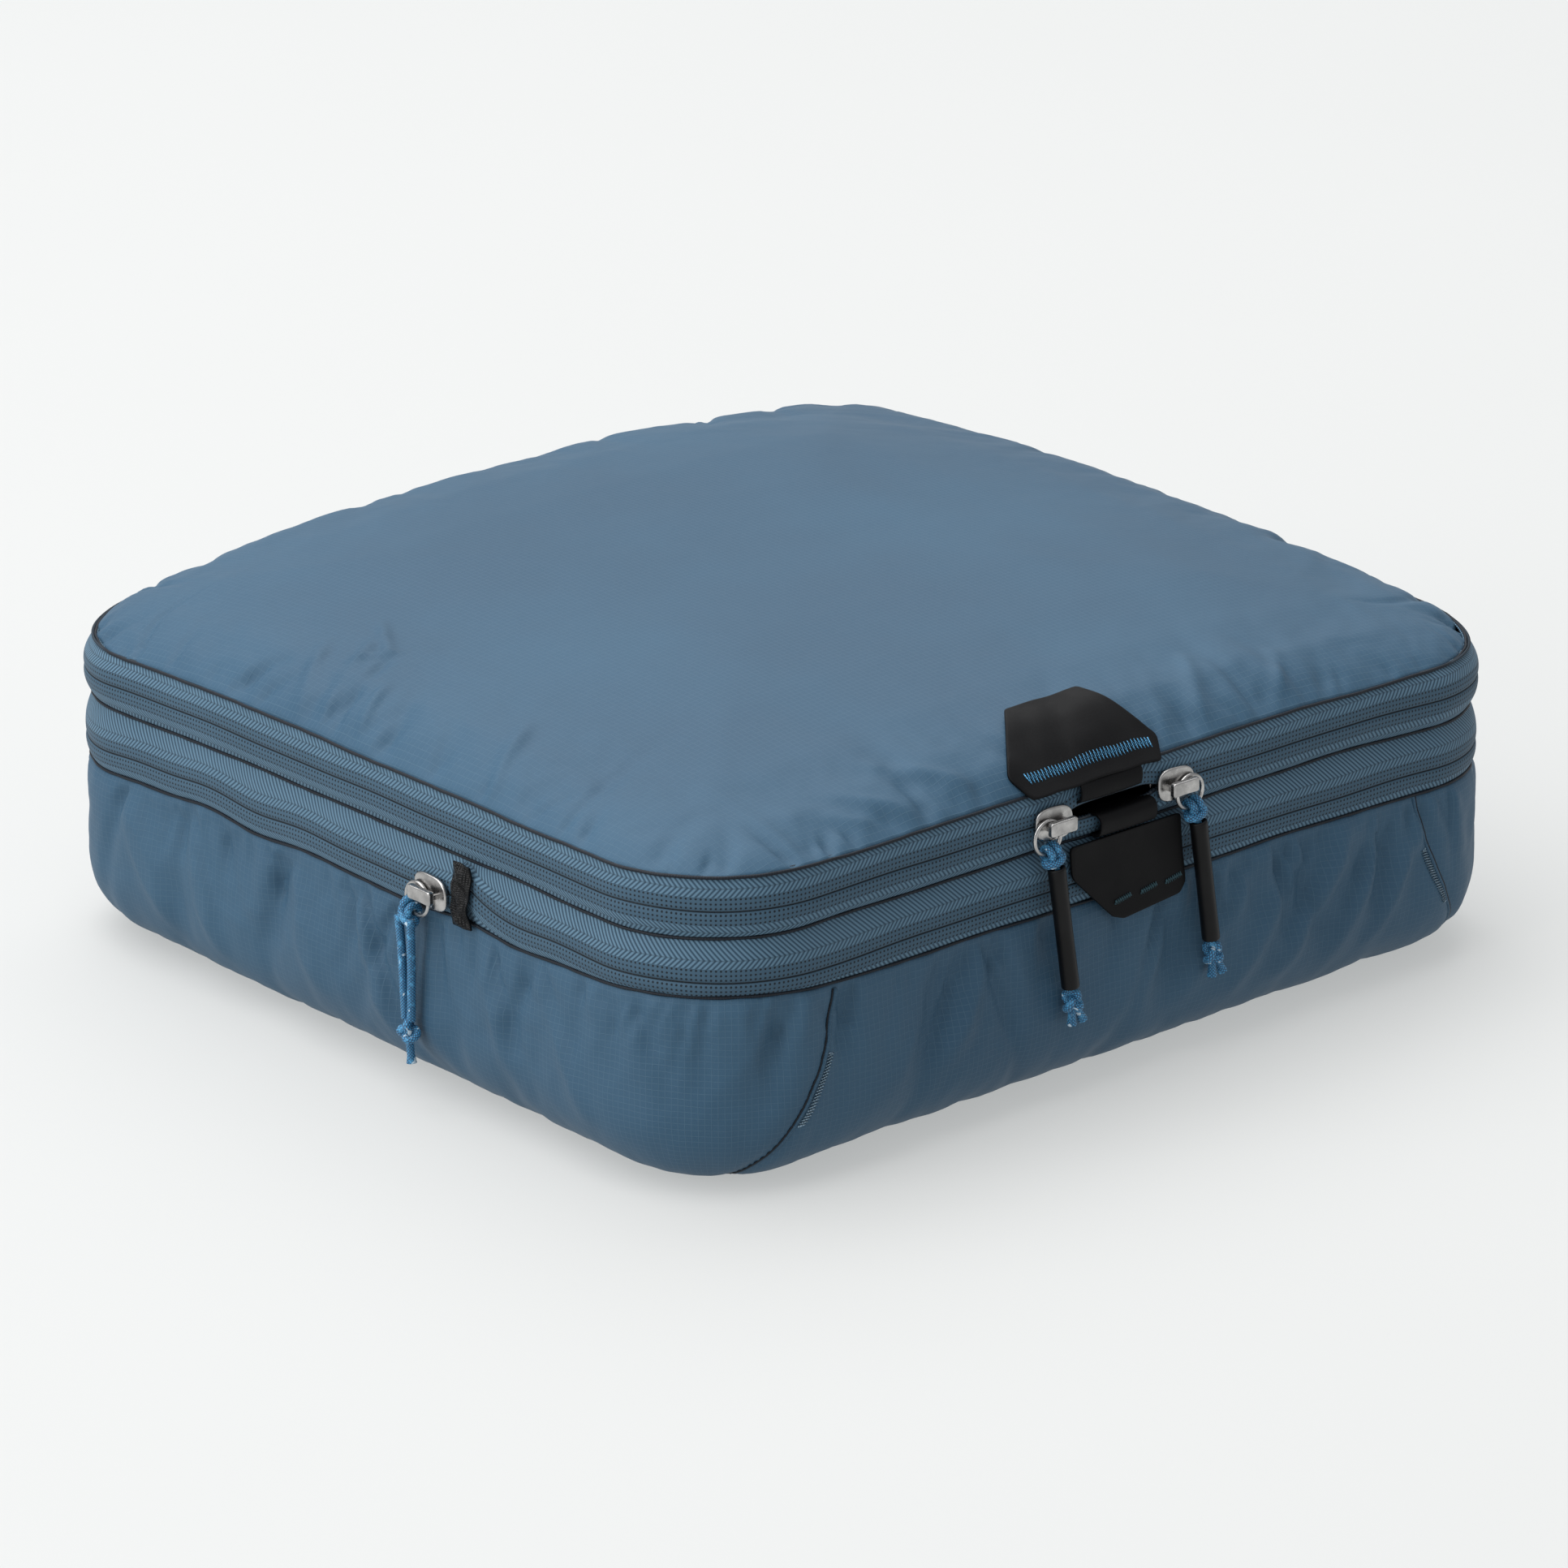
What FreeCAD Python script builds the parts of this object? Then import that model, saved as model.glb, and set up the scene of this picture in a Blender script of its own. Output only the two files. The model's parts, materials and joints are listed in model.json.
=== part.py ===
import FreeCAD, Part
import math
import os

# Soft packing cube with two zips round its wall. The upper zip opens the lid; the lower zip lets a folded
# gusset out, so that the cube grows taller. Millimetres, +Z up, origin at the centre of the base's lower face.
# The front wall, with the two tabs, faces -Y. The compression slider is on the left wall, which faces -X.

V = FreeCAD.Vector

# ---------------------------------------------------------------- driving dimensions
WIDTH = 370.0            # along X
DEPTH = 350.0            # along Y
CORNER_R = 48.0          # plan radius of the four upright corners
BASE_EDGE_R = 20.0       # rounding between base and walls
FABRIC = 0.8             # thickness of every fabric panel and tape

WALL_TOP_Z = 66.0        # seam between lower wall and compression zip
LOWER_CHAIN_Z = 74.0     # centre line of the compression zip
CREASE_Z = 88.0          # seam between the two zips
UPPER_CHAIN_Z = 98.0     # centre line of the main zip
LID_SEAM_Z = 108.5       # seam between main zip and top panel

CHAIN_GAP = 0.55         # half the slit between the two tape edges
COIL_DEPTH = 1.6
COIL_TOP = 3.0           # a coil half reaches this far from the chain's centre line
HINGE_HALF_X = 110.0     # half length of the rear hinge strip, where no main zip runs

GUSSET_INSET = 4.0
GUSSET_BOTTOM_Z = 14.0
GUSSET_LEDGE = 2.0
BINDING_HEIGHT = 4.0

SEAM_TOP_X = 129.0       # where each corner seam meets the compression zip
SEAM_MID_X = 139.0
SEAM_MID_Z = 36.0
SEAM_BASE_X = 165.0      # where each corner seam reaches the base

BARTACK_TOP = (128.0, 45.0)      # x and z of a bartack row's upper inner corner
BARTACK_FOOT = (137.0, 23.0)
BARTACK_WIDTH = 2.0
THREAD_PROUD = 0.35      # sewn thread stands this far off what it is sewn to

UPPER_TAB_X = -19.5      # the lid's tab sits further left than the wall's
UPPER_STRAP_X = -14.0
UPPER_STRAP_WIDTH = 27.0
LOWER_TAB_X = -7.0
LOWER_STRAP_WIDTH = 24.5
TAB_THICKNESS = 1.0
FLAP_GAP = 0.5           # air between the hanging flap and the front wall
UPPER_TAB_OUTLINE = ((-28, -1.5), (-32.5, 7), (-15.5, 27), (15.5, 27), (32.5, 7), (28, -1.5))    # x, set back
FLAP_OUTLINE = ((-24, 87.4), (24.5, 87.4), (25.5, 64.5), (22.5, 60.8), (-2.5, 58.6), (-7, 60.2), (-23.6, 77))
ZIGZAG_LENGTH = 54.0
ZIGZAG_COUNT = 27
ZIGZAG_NEAR = 3.5        # the zigzag row lies between these distances behind the front wall
ZIGZAG_FAR = 8.0
ZIGZAG_THREAD = 0.7
DASH_CENTRES = (-2.5, 9.0, 20.0)
DASH_LENGTH = 7.2
DASH_WIDTH = 1.2
DASH_Z = 65.5
DASH_RISE = 0.055        # slope of the line that the dashes follow
DASH_TILT = 7.0

SLIDER_LENGTH = 16.0
SLIDER_HEIGHT = 11.6
PLATE_CORNER_R = 4.0
PLATE_GAP = 0.4          # air between a slider plate and the tape
OUTER_PLATE = 1.4
INNER_PLATE = 0.8
POST_X0 = 2.0            # the post that joins the plates runs in the slit between the tapes
POST_X1 = 6.0
POST_HALF = 0.25
WELD = 0.5               # joined lumps reach this far into each other
BRIDGE_LENGTH = 10.5
BRIDGE_WIDTH = 3.6
BRIDGE_THICK = 1.0
BRIDGE_UNDER = 5.1       # from tape face to the underside of the bridge
BRIDGE_LEG = 1.0         # thickness of a leg along the chain
BRIDGE_LEG_HALF = 0.7    # half its width across the chain, inside the ring's reach
RING_R = 5.55            # to the wire's centre
RING_WIRE_R = 0.7
RING_OUT = 3.2           # the ring's plane stands this far from the tape face
RING_DROP = 3.3          # the ring's centre hangs this far below the chain line

CORD_D = 2.8
GRIP_LENGTH = 43.0
GRIP_R = 3.0
GRIP_BORE_R = 2.1
PULL_LEAN = 0.15         # sideways lean of a grip, as a slope
HITCH_WIRE_R = 0.9
HITCH_FIT = 0.1          # running fit of the hitch round the ring's wire
HITCH_R = RING_WIRE_R + HITCH_FIT + HITCH_WIRE_R
MAIN_SWING = 15          # degrees from straight down to where each cord hangs on its ring
COMPRESSION_SWING = -40
KNOT_R = 3.6
KNOT_HEIGHT = 9.0
TAIL_R = 1.3
TAIL_LENGTH = 8.0

MAIN_LEFT_X = -38.5
MAIN_RIGHT_X = 15.0
COMPRESSION_Y = -45.0
GARAGE_Y = -60.0
GARAGE_WIDTH = 7.0
GARAGE_THICK = 0.9
GARAGE_GAP = 0.4         # the end tab stands this far off the zip
GARAGE_PAD_RISE = 4.0    # and is sewn down from this far above the chain
CUT_MARGIN = 5.0         # a cutting solid reaches this far past what it cuts


# ---------------------------------------------------------------- shared shapes
def rounded_wire(inset, z, radius=None):
    """Closed plan outline of the cube, moved inwards by inset."""
    x = WIDTH / 2 - inset
    y = DEPTH / 2 - inset
    r = CORNER_R - inset if radius is None else radius
    k = r * (1 - math.sqrt(0.5))
    corners = [(1, 1), (-1, 1), (-1, -1), (1, -1)]
    edges = []
    for i, (sx, sy) in enumerate(corners):
        if i % 2 == 0:
            start = V(sx * x, sy * (y - r), z)
            end = V(sx * (x - r), sy * y, z)
        else:
            start = V(sx * (x - r), sy * y, z)
            end = V(sx * x, sy * (y - r), z)
        middle = V(sx * (x - k), sy * (y - k), z)
        if edges:
            edges.append(Part.LineSegment(edges[-1].lastVertex(True).Point, start).toShape())
        edges.append(Part.Arc(start, middle, end).toShape())
    edges.append(Part.LineSegment(edges[-1].lastVertex(True).Point, edges[0].firstVertex(True).Point).toShape())
    return Part.Wire(edges)


def prism(inset, z0, z1):
    return Part.Face(rounded_wire(inset, z0)).extrude(V(0, 0, z1 - z0))


def band(inset, thickness, z0, z1):
    """A ring of cloth of the cube's outline."""
    return prism(inset, z0, z1).cut(prism(inset + thickness, z0 - 1, z1 + 1))


def block(x0, x1, y0, y1, z0, z1):
    return Part.makeBox(x1 - x0, y1 - y0, z1 - z0, V(x0, y0, z0))


def polygon_prism(points, direction):
    """Solid from a closed polygon, pushed along direction."""
    return Part.Face(Part.makePolygon(points + [points[0]])).extrude(direction)


def rear_zone():
    """The stretch of the rear wall that carries the hinge strip instead of zip."""
    return block(-HINGE_HALF_X, HINGE_HALF_X, 0, DEPTH, 0, 2 * LID_SEAM_Z)


def write(name, shape):
    shape.exportStep(os.path.join("parts", name + ".step"))
    print(name, round(shape.Volume, 1), "valid" if shape.isValid() else "INVALID", len(shape.Solids))


# ---------------------------------------------------------------- lower shell
def lower_solid(inset):
    solid = prism(inset, inset, WALL_TOP_Z)
    bottom = [e for e in solid.Edges if e.BoundBox.ZMax < inset + 0.01]
    return solid.makeFillet(BASE_EDGE_R - inset, bottom)


def seam_side(side):
    """Everything outboard of one corner seam, seen from the front and pushed from front to rear."""
    top = V(side * SEAM_TOP_X, -DEPTH, WALL_TOP_Z)
    middle = V(side * SEAM_MID_X, -DEPTH, SEAM_MID_Z)
    base = V(side * SEAM_BASE_X, -DEPTH, 0)
    above = V(side * (SEAM_TOP_X - 1), -DEPTH, WALL_TOP_Z + CUT_MARGIN)
    below = V(side * (SEAM_BASE_X + 2), -DEPTH, -CUT_MARGIN)
    outer_low = V(side * WIDTH, -DEPTH, -CUT_MARGIN)
    outer_high = V(side * WIDTH, -DEPTH, WALL_TOP_Z + CUT_MARGIN)
    edges = [Part.LineSegment(above, top).toShape(), Part.Arc(top, middle, base).toShape()]
    for a, b in ((base, below), (below, outer_low), (outer_low, outer_high), (outer_high, above)):
        edges.append(Part.LineSegment(a, b).toShape())
    return Part.Face(Part.Wire(edges)).extrude(V(0, 2 * DEPTH, 0))


def lower_shell():
    inner = lower_solid(FABRIC).fuse(prism(FABRIC, WALL_TOP_Z - 1, WALL_TOP_Z + 1)).removeSplitter()
    return lower_solid(0).cut(inner)


def corner_bartacks():
    """Two short raised rows of thread beside the front corner seams."""
    (top_x, top_z), (foot_x, foot_z) = BARTACK_TOP, BARTACK_FOOT
    proud = prism(-THREAD_PROUD, foot_z - 1, top_z + 1).cut(prism(0, foot_z - 2, top_z + 2))
    rows = []
    for side in (-1, 1):
        corners = ((top_x, top_z), (top_x + BARTACK_WIDTH, top_z),
                   (foot_x + BARTACK_WIDTH, foot_z), (foot_x, foot_z))
        points = [V(side * x, -DEPTH, z) for x, z in corners]
        rows.append(proud.common(polygon_prism(points, V(0, DEPTH, 0))))
    return Part.makeCompound(rows)


# ---------------------------------------------------------------- zips
def tape(z0, z1):
    return band(0, FABRIC, z0, z1)


def coil(z0, z1):
    return band(FABRIC, COIL_DEPTH, z0, z1)


def gusset():
    """Skirt that telescopes inside the lower wall, with the ledge that sews it to the crease."""
    skirt = band(GUSSET_INSET, FABRIC, GUSSET_BOTTOM_Z, CREASE_Z)
    ledge = band(FABRIC, GUSSET_INSET, CREASE_Z - GUSSET_LEDGE, CREASE_Z)
    return skirt.fuse(ledge).removeSplitter()


def compression_zip_garage():
    """Woven end tab over the closed end of the compression zip, sewn to its upper tape."""
    y0 = GARAGE_Y - GARAGE_WIDTH / 2
    y1 = GARAGE_Y + GARAGE_WIDTH / 2
    face = -WIDTH / 2
    cover = block(face - GARAGE_GAP - GARAGE_THICK, face - GARAGE_GAP, y0, y1, WALL_TOP_Z, CREASE_Z)
    pad = block(face - GARAGE_GAP, face, y0, y1, LOWER_CHAIN_Z + GARAGE_PAD_RISE, CREASE_Z)
    return cover.fuse(pad).removeSplitter()


# ---------------------------------------------------------------- lid
DOME = [(0, 0), (4, 4.6), (10, 9.2), (21, 14.2), (45, 19.4), (80, 23.4), (120, 25.8)]   # inset, rise
DOME_CAP = (150, 26.6)
DOME_ROUNDING = 0.15     # the plan corners tighten by this much for each millimetre inwards
DOME_SKIRT = 3.0         # cutting domes reach this far below the seam


def dome(offset, skirt):
    """Solid under the crowned top panel, grown by offset, with an upright skirt below the seam."""
    levels = [(-offset, LID_SEAM_Z + offset - skirt)] if skirt else []
    for inset, rise in DOME + [DOME_CAP]:
        levels.append((inset - offset, LID_SEAM_Z + rise + offset))
    wires = []
    for inset, z in levels:
        radius = CORNER_R - DOME_ROUNDING * max(inset, 0) - min(inset, 0)
        wires.append(rounded_wire(inset, z, min(radius, DEPTH / 2 - inset - 1)))
    return Part.makeLoft(wires, True, True)


def dome_layer(inner, outer):
    """Shell over the dome between two distances from it."""
    return dome(outer, DOME_SKIRT).cut(dome(inner, 2 * DOME_SKIRT))


def top_panel():
    return dome(0, 0).cut(dome(-FABRIC, DOME_SKIRT))


def tab_outline():
    """Six-sided outline of the upper tab, with its lower edge just above the strap."""
    points = [V(UPPER_TAB_X + x, -DEPTH / 2 + back, LID_SEAM_Z - DOME_SKIRT) for x, back in UPPER_TAB_OUTLINE]
    return polygon_prism(points, V(0, 0, LID_SEAM_Z))


def upper_tab():
    """Hexagonal flap on the dome with the strap that runs down over the upper tape."""
    face = -DEPTH / 2
    half = UPPER_STRAP_WIDTH / 2
    flap = dome_layer(0, TAB_THICKNESS).common(tab_outline())
    strap = block(UPPER_STRAP_X - half, UPPER_STRAP_X + half, face - TAB_THICKNESS, face,
                  UPPER_CHAIN_Z + CHAIN_GAP, LID_SEAM_Z - 0.5)
    return flap.fuse(strap).removeSplitter()


def upper_tab_stitching():
    """Zigzag row of thread standing on the upper tab."""
    upper = []
    lower = []
    for i in range(ZIGZAG_COUNT + 1):
        x = UPPER_TAB_X - ZIGZAG_LENGTH / 2 + i * ZIGZAG_LENGTH / ZIGZAG_COUNT
        y = -DEPTH / 2 + (ZIGZAG_NEAR if i % 2 else ZIGZAG_FAR)
        upper.append(V(x, y + ZIGZAG_THREAD, LID_SEAM_Z))
        lower.append(V(x, y, LID_SEAM_Z))
    row = polygon_prism(upper + lower[::-1], V(0, 0, LID_SEAM_Z))
    return dome_layer(TAB_THICKNESS, TAB_THICKNESS + THREAD_PROUD).common(row)


# ---------------------------------------------------------------- lower tab
def lower_tab_strap():
    face = -DEPTH / 2
    half = LOWER_STRAP_WIDTH / 2
    return block(LOWER_TAB_X - half, LOWER_TAB_X + half, face - TAB_THICKNESS, face,
                 CREASE_Z + 0.3, UPPER_CHAIN_Z - CHAIN_GAP)


def lower_tab_flap():
    """Tapered flap hanging over the compression zip, its foot swung to the right."""
    points = [V(LOWER_TAB_X + x, -DEPTH / 2 - FLAP_GAP, z) for x, z in FLAP_OUTLINE]
    return polygon_prism(points, V(0, -TAB_THICKNESS, 0))


def lower_tab_stitches():
    """Three short dashes of thread near the foot of the flap."""
    face = -DEPTH / 2 - FLAP_GAP - TAB_THICKNESS
    dashes = []
    for centre in DASH_CENTRES:
        bar = block(-DASH_LENGTH / 2, DASH_LENGTH / 2, face - THREAD_PROUD, face,
                    -DASH_WIDTH / 2, DASH_WIDTH / 2)
        bar.rotate(V(0, face, 0), V(0, -1, 0), DASH_TILT)
        bar.translate(V(LOWER_TAB_X + centre, 0, DASH_Z + DASH_RISE * centre))
        dashes.append(bar)
    return Part.makeCompound(dashes)


# ---------------------------------------------------------------- sliders, in their own frame
# x runs along the chain to the right, -y points out of the wall, z is up; y = 0 is the tape's outer face.
def plate(y_outer, thickness, length, height):
    box = Part.makeBox(length, thickness, height, V(-length / 2, y_outer, -height / 2))
    upright = [e for e in box.Edges if abs(e.tangentAt(e.FirstParameter).y) > 0.9]
    return box.makeFillet(PLATE_CORNER_R, upright)


def slider_body():
    """Outer and inner plate joined by a thin post, and the bridge that holds the ring."""
    outer = plate(-PLATE_GAP - OUTER_PLATE, OUTER_PLATE, SLIDER_LENGTH, SLIDER_HEIGHT)
    inner_y = FABRIC + COIL_DEPTH + PLATE_GAP
    inner = plate(inner_y, INNER_PLATE, SLIDER_LENGTH - 1, SLIDER_HEIGHT - 1)
    post = block(POST_X0, POST_X1, -PLATE_GAP - WELD, inner_y + WELD, -POST_HALF, POST_HALF)
    half = BRIDGE_LENGTH / 2
    strip = block(-half, half, -BRIDGE_UNDER - BRIDGE_THICK, -BRIDGE_UNDER, -BRIDGE_WIDTH / 2, BRIDGE_WIDTH / 2)
    body = outer.fuse([inner, post, strip])
    for sign in (-1, 1):
        x0, x1 = sorted((sign * half, sign * (half - BRIDGE_LEG)))
        leg = block(x0, x1, -BRIDGE_UNDER - WELD, -PLATE_GAP - WELD, -BRIDGE_LEG_HALF, BRIDGE_LEG_HALF)
        body = body.fuse(leg)
    return body.removeSplitter()


def ring_centre(side):
    return V(side * math.sqrt(RING_R ** 2 - RING_DROP ** 2), -RING_OUT, -RING_DROP)


def ring(side):
    return Part.makeTorus(RING_R, RING_WIRE_R, ring_centre(side), V(0, 1, 0))


def hitch_point(side, swing):
    """Where the cord is hitched on the ring; swing is the angle from straight down, towards +x."""
    a = math.radians(swing)
    return ring_centre(side) + V(RING_R * math.sin(a), 0, -RING_R * math.cos(a))


def hitch(point, swing):
    a = math.radians(swing)
    return Part.makeTorus(HITCH_R, HITCH_WIRE_R, point, V(math.cos(a), 0, math.sin(a)))


def cord_tube(points, label):
    """Round tube of the cord's diameter along straight runs joined by tangent arcs."""
    edges = []
    radii = []
    last = points[0]
    for before, here, after in zip(points, points[1:], points[2:]):
        run_in = here - before
        run_out = after - here
        half_turn = run_in.getAngle(run_out) / 2
        reach = 0.45 * min(run_in.Length, run_out.Length)
        radii.append(round(reach / math.tan(half_turn), 1))
        start = here - run_in.normalize() * reach
        end = here + run_out.normalize() * reach
        centre_way = (run_out - run_in).normalize()
        radius = reach / math.tan(half_turn)
        middle = here + centre_way * (radius / math.cos(half_turn) - radius)
        edges.append(Part.LineSegment(last, start).toShape())
        edges.append(Part.Arc(start, middle, end).toShape())
        last = end
    edges.append(Part.LineSegment(last, points[-1]).toShape())
    path = Part.Wire(edges)
    section = Part.Wire(Part.makeCircle(CORD_D / 2, points[0], points[1] - points[0]))
    tube = path.makePipeShell([section], True, False)
    expected = math.pi * CORD_D ** 2 / 4 * path.Length
    ratio = round(tube.Volume / expected, 4)
    print(label, "length", round(path.Length, 1), "radii", radii, "volume ratio", ratio)
    return tube


def grip_start(hitch_at):
    return hitch_at + V(0.5, -2.0, -3.6)


def grip_way():
    return V(PULL_LEAN, -0.015, -1).normalize()


def grip_cord_points(hitch_at):
    """Route of a main pull's cord: from the hitch, out and down into the grip, and on to the knot."""
    top = grip_start(hitch_at)
    return [hitch_at + V(0, -0.4, -1.5), hitch_at + V(0.1, -1.5, -3.3), top + grip_way() * 3.5,
            top + grip_way() * (GRIP_LENGTH + 2.0)]


def grip_cord(side, swing, label):
    at = hitch_point(side, swing)
    return cord_tube(grip_cord_points(at), label).fuse(hitch(at, swing))


def grip(side, swing):
    """Moulded tube that the fingers hold."""
    start = grip_start(hitch_point(side, swing)) + grip_way() * 1.0
    outer = Part.makeCylinder(GRIP_R, GRIP_LENGTH, start, grip_way())
    return outer.cut(Part.makeCylinder(GRIP_BORE_R, GRIP_LENGTH, start, grip_way()))


def knot(top, way, tails):
    """Pulled-tight knot, flat where the cord enters it, with its cut tails."""
    ball = Part.makeSphere(1.0)
    matrix = FreeCAD.Matrix()
    matrix.scale(KNOT_R, KNOT_R, KNOT_HEIGHT * 0.6)
    ball = ball.transformGeometry(matrix)
    ball.translate(V(0, 0, -KNOT_HEIGHT * 0.45))
    body = ball.common(block(-2 * KNOT_R, 2 * KNOT_R, -2 * KNOT_R, 2 * KNOT_R, -KNOT_HEIGHT, 0))
    for lean in tails:
        tail_way = V(lean, 0, -1).normalize()
        tail_top = V(lean * 2, 0, 2 - KNOT_HEIGHT)
        body = body.fuse(Part.makeCylinder(TAIL_R, TAIL_LENGTH, tail_top, tail_way))
    turn = FreeCAD.Rotation(V(0, 0, -1), way)
    body.Placement = FreeCAD.Placement(top, turn)
    return body


def grip_knot(side, swing):
    top = grip_cord_points(hitch_point(side, swing))[-1]
    return knot(top, grip_way(), (-0.35, 0.45))


LOOP_POINTS = [(-1.5, -5.0, -38), (-2.3, -5.1, -20), (-2.6, -5.4, -9.5), (-3.1, -5.8, -2.7),
               (3.1, -5.8, -2.7), (2.6, -5.4, -9.5), (2.3, -5.1, -20), (1.5, -5.0, -38)]


def loop_cord(side, swing, label):
    """Bare loop of cord on the compression slider: up one strand, through the ring, down the other."""
    at = hitch_point(side, swing)
    points = [V(at.x + x, y, at.z + z) for x, y, z in LOOP_POINTS]
    return cord_tube(points, label).fuse(hitch(at, swing))


def loop_knot(side, swing):
    at = hitch_point(side, swing)
    x, y, z = LOOP_POINTS[0]
    return knot(V(at.x, y, at.z + z), V(0, 0, -1), (0.1,))


def on_front(shape, x):
    shape.translate(V(x, -DEPTH / 2, UPPER_CHAIN_Z))
    return shape


def on_left(shape, y):
    shape.rotate(V(0, 0, 0), V(0, 0, 1), -90)
    shape.translate(V(-WIDTH / 2, y, LOWER_CHAIN_Z))
    return shape


def build_main_slider(name, x, side):
    write(name + "_slider_body", on_front(slider_body(), x))
    write(name + "_ring", on_front(ring(side), x))
    write(name + "_cord", on_front(grip_cord(side, MAIN_SWING, name), x))
    write(name + "_grip", on_front(grip(side, MAIN_SWING), x))
    write(name + "_knot", on_front(grip_knot(side, MAIN_SWING), x))


def build_compression_slider(y, side):
    write("compression_slider_body", on_left(slider_body(), y))
    write("compression_ring", on_left(ring(side), y))
    write("compression_cord", on_left(loop_cord(side, COMPRESSION_SWING, "compression"), y))
    write("compression_knot", on_left(loop_knot(side, COMPRESSION_SWING), y))


# ---------------------------------------------------------------- build
os.makedirs("parts", exist_ok=True)

shell = lower_shell()
left_cut = seam_side(-1)
right_cut = seam_side(1)
write("centre_panel", shell.cut(left_cut.fuse(right_cut)))
write("left_side_panel", shell.common(left_cut))
write("right_side_panel", shell.common(right_cut))
write("corner_bartacks", corner_bartacks())
write("wall_seam_binding", band(FABRIC, FABRIC, WALL_TOP_Z - BINDING_HEIGHT, WALL_TOP_Z))
write("compression_zip_lower_tape", tape(WALL_TOP_Z, LOWER_CHAIN_Z - CHAIN_GAP))
write("compression_zip_lower_coil", coil(LOWER_CHAIN_Z - COIL_TOP, LOWER_CHAIN_Z - CHAIN_GAP))

rear = rear_zone()
main_lower_tape = tape(CREASE_Z, UPPER_CHAIN_Z - CHAIN_GAP)
main_upper_tape = tape(UPPER_CHAIN_Z + CHAIN_GAP, LID_SEAM_Z)
write("compression_zip_upper_tape", tape(LOWER_CHAIN_Z + CHAIN_GAP, CREASE_Z))
write("compression_zip_upper_coil", coil(LOWER_CHAIN_Z + CHAIN_GAP, LOWER_CHAIN_Z + COIL_TOP))
write("gusset", gusset())
write("main_zip_lower_tape", main_lower_tape.cut(rear))
write("hinge_strip_lower", main_lower_tape.common(rear))
write("main_zip_lower_coil", coil(UPPER_CHAIN_Z - COIL_TOP, UPPER_CHAIN_Z - CHAIN_GAP).cut(rear))
write("compression_zip_garage", compression_zip_garage())
write("lower_tab_strap", lower_tab_strap())

write("main_zip_upper_tape", main_upper_tape.cut(rear))
write("hinge_strip_upper", main_upper_tape.common(rear))
write("main_zip_upper_coil", coil(UPPER_CHAIN_Z + CHAIN_GAP, UPPER_CHAIN_Z + COIL_TOP).cut(rear))
write("top_panel", top_panel())
write("lid_seam_binding", band(FABRIC, FABRIC, LID_SEAM_Z - BINDING_HEIGHT, LID_SEAM_Z - 0.8))
write("upper_tab", upper_tab())
write("upper_tab_stitching", upper_tab_stitching())

write("lower_tab_flap", lower_tab_flap())
write("lower_tab_stitches", lower_tab_stitches())

build_main_slider("main_left", MAIN_LEFT_X, -1)
build_main_slider("main_right", MAIN_RIGHT_X, 1)
build_compression_slider(COMPRESSION_Y, -1)
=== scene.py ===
"""Looks of the packing cube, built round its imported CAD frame. Metres, +Z up, the front wall faces -Y."""

import json
import math
import random

import bpy
import numpy as np
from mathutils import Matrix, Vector
from mathutils.bvhtree import BVHTree


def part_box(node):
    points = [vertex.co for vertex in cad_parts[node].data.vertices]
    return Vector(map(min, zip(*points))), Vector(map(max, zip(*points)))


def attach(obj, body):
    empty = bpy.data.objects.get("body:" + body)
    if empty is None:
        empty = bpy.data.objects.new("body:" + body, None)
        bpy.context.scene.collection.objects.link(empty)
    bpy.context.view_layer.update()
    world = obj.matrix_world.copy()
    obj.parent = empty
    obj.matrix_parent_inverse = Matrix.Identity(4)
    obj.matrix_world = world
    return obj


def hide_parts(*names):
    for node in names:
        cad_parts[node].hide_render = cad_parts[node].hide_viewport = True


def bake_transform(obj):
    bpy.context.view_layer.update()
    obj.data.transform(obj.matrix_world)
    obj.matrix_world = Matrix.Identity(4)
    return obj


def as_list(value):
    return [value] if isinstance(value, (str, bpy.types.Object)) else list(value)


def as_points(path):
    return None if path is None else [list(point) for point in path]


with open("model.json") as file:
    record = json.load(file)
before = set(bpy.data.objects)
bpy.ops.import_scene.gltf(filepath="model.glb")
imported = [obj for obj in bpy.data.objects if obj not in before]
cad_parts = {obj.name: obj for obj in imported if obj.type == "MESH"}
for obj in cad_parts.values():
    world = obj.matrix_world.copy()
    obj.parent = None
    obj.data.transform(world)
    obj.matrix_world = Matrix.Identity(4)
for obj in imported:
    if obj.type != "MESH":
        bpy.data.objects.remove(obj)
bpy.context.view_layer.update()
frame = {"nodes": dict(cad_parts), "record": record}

# ---------------------------------------------------------------- sizes, from the frame
MM = 0.001
RING_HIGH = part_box("compression_zip_lower_tape")[1]
HALF_X = RING_HIGH.x
HALF_Y = RING_HIGH.y
CORNER_R = 48 * MM
WALL_TOP_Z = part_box("wall_seam_binding")[1].z
CREASE_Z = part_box("compression_zip_upper_tape")[1].z
LID_SEAM_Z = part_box("main_zip_upper_tape")[1].z
LOWER_CHAIN_Z = (RING_HIGH.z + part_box("compression_zip_upper_tape")[0].z) / 2
UPPER_CHAIN_Z = (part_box("main_zip_lower_tape")[1].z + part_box("main_zip_upper_tape")[0].z) / 2
HINGE_HALF_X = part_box("hinge_strip_lower")[1].x
LOWER_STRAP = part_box("lower_tab_strap")
LOWER_TAB_X = (LOWER_STRAP[0].x + LOWER_STRAP[1].x) / 2
UPPER_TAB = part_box("upper_tab")
UPPER_TAB_X = (UPPER_TAB[0].x + UPPER_TAB[1].x) / 2
UPPER_STRAP_X = UPPER_TAB_X + 5.5 * MM
UPPER_STRAP_HALF = 13.5 * MM
LOWER_STRAP_HALF = 12.6 * MM
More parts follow.
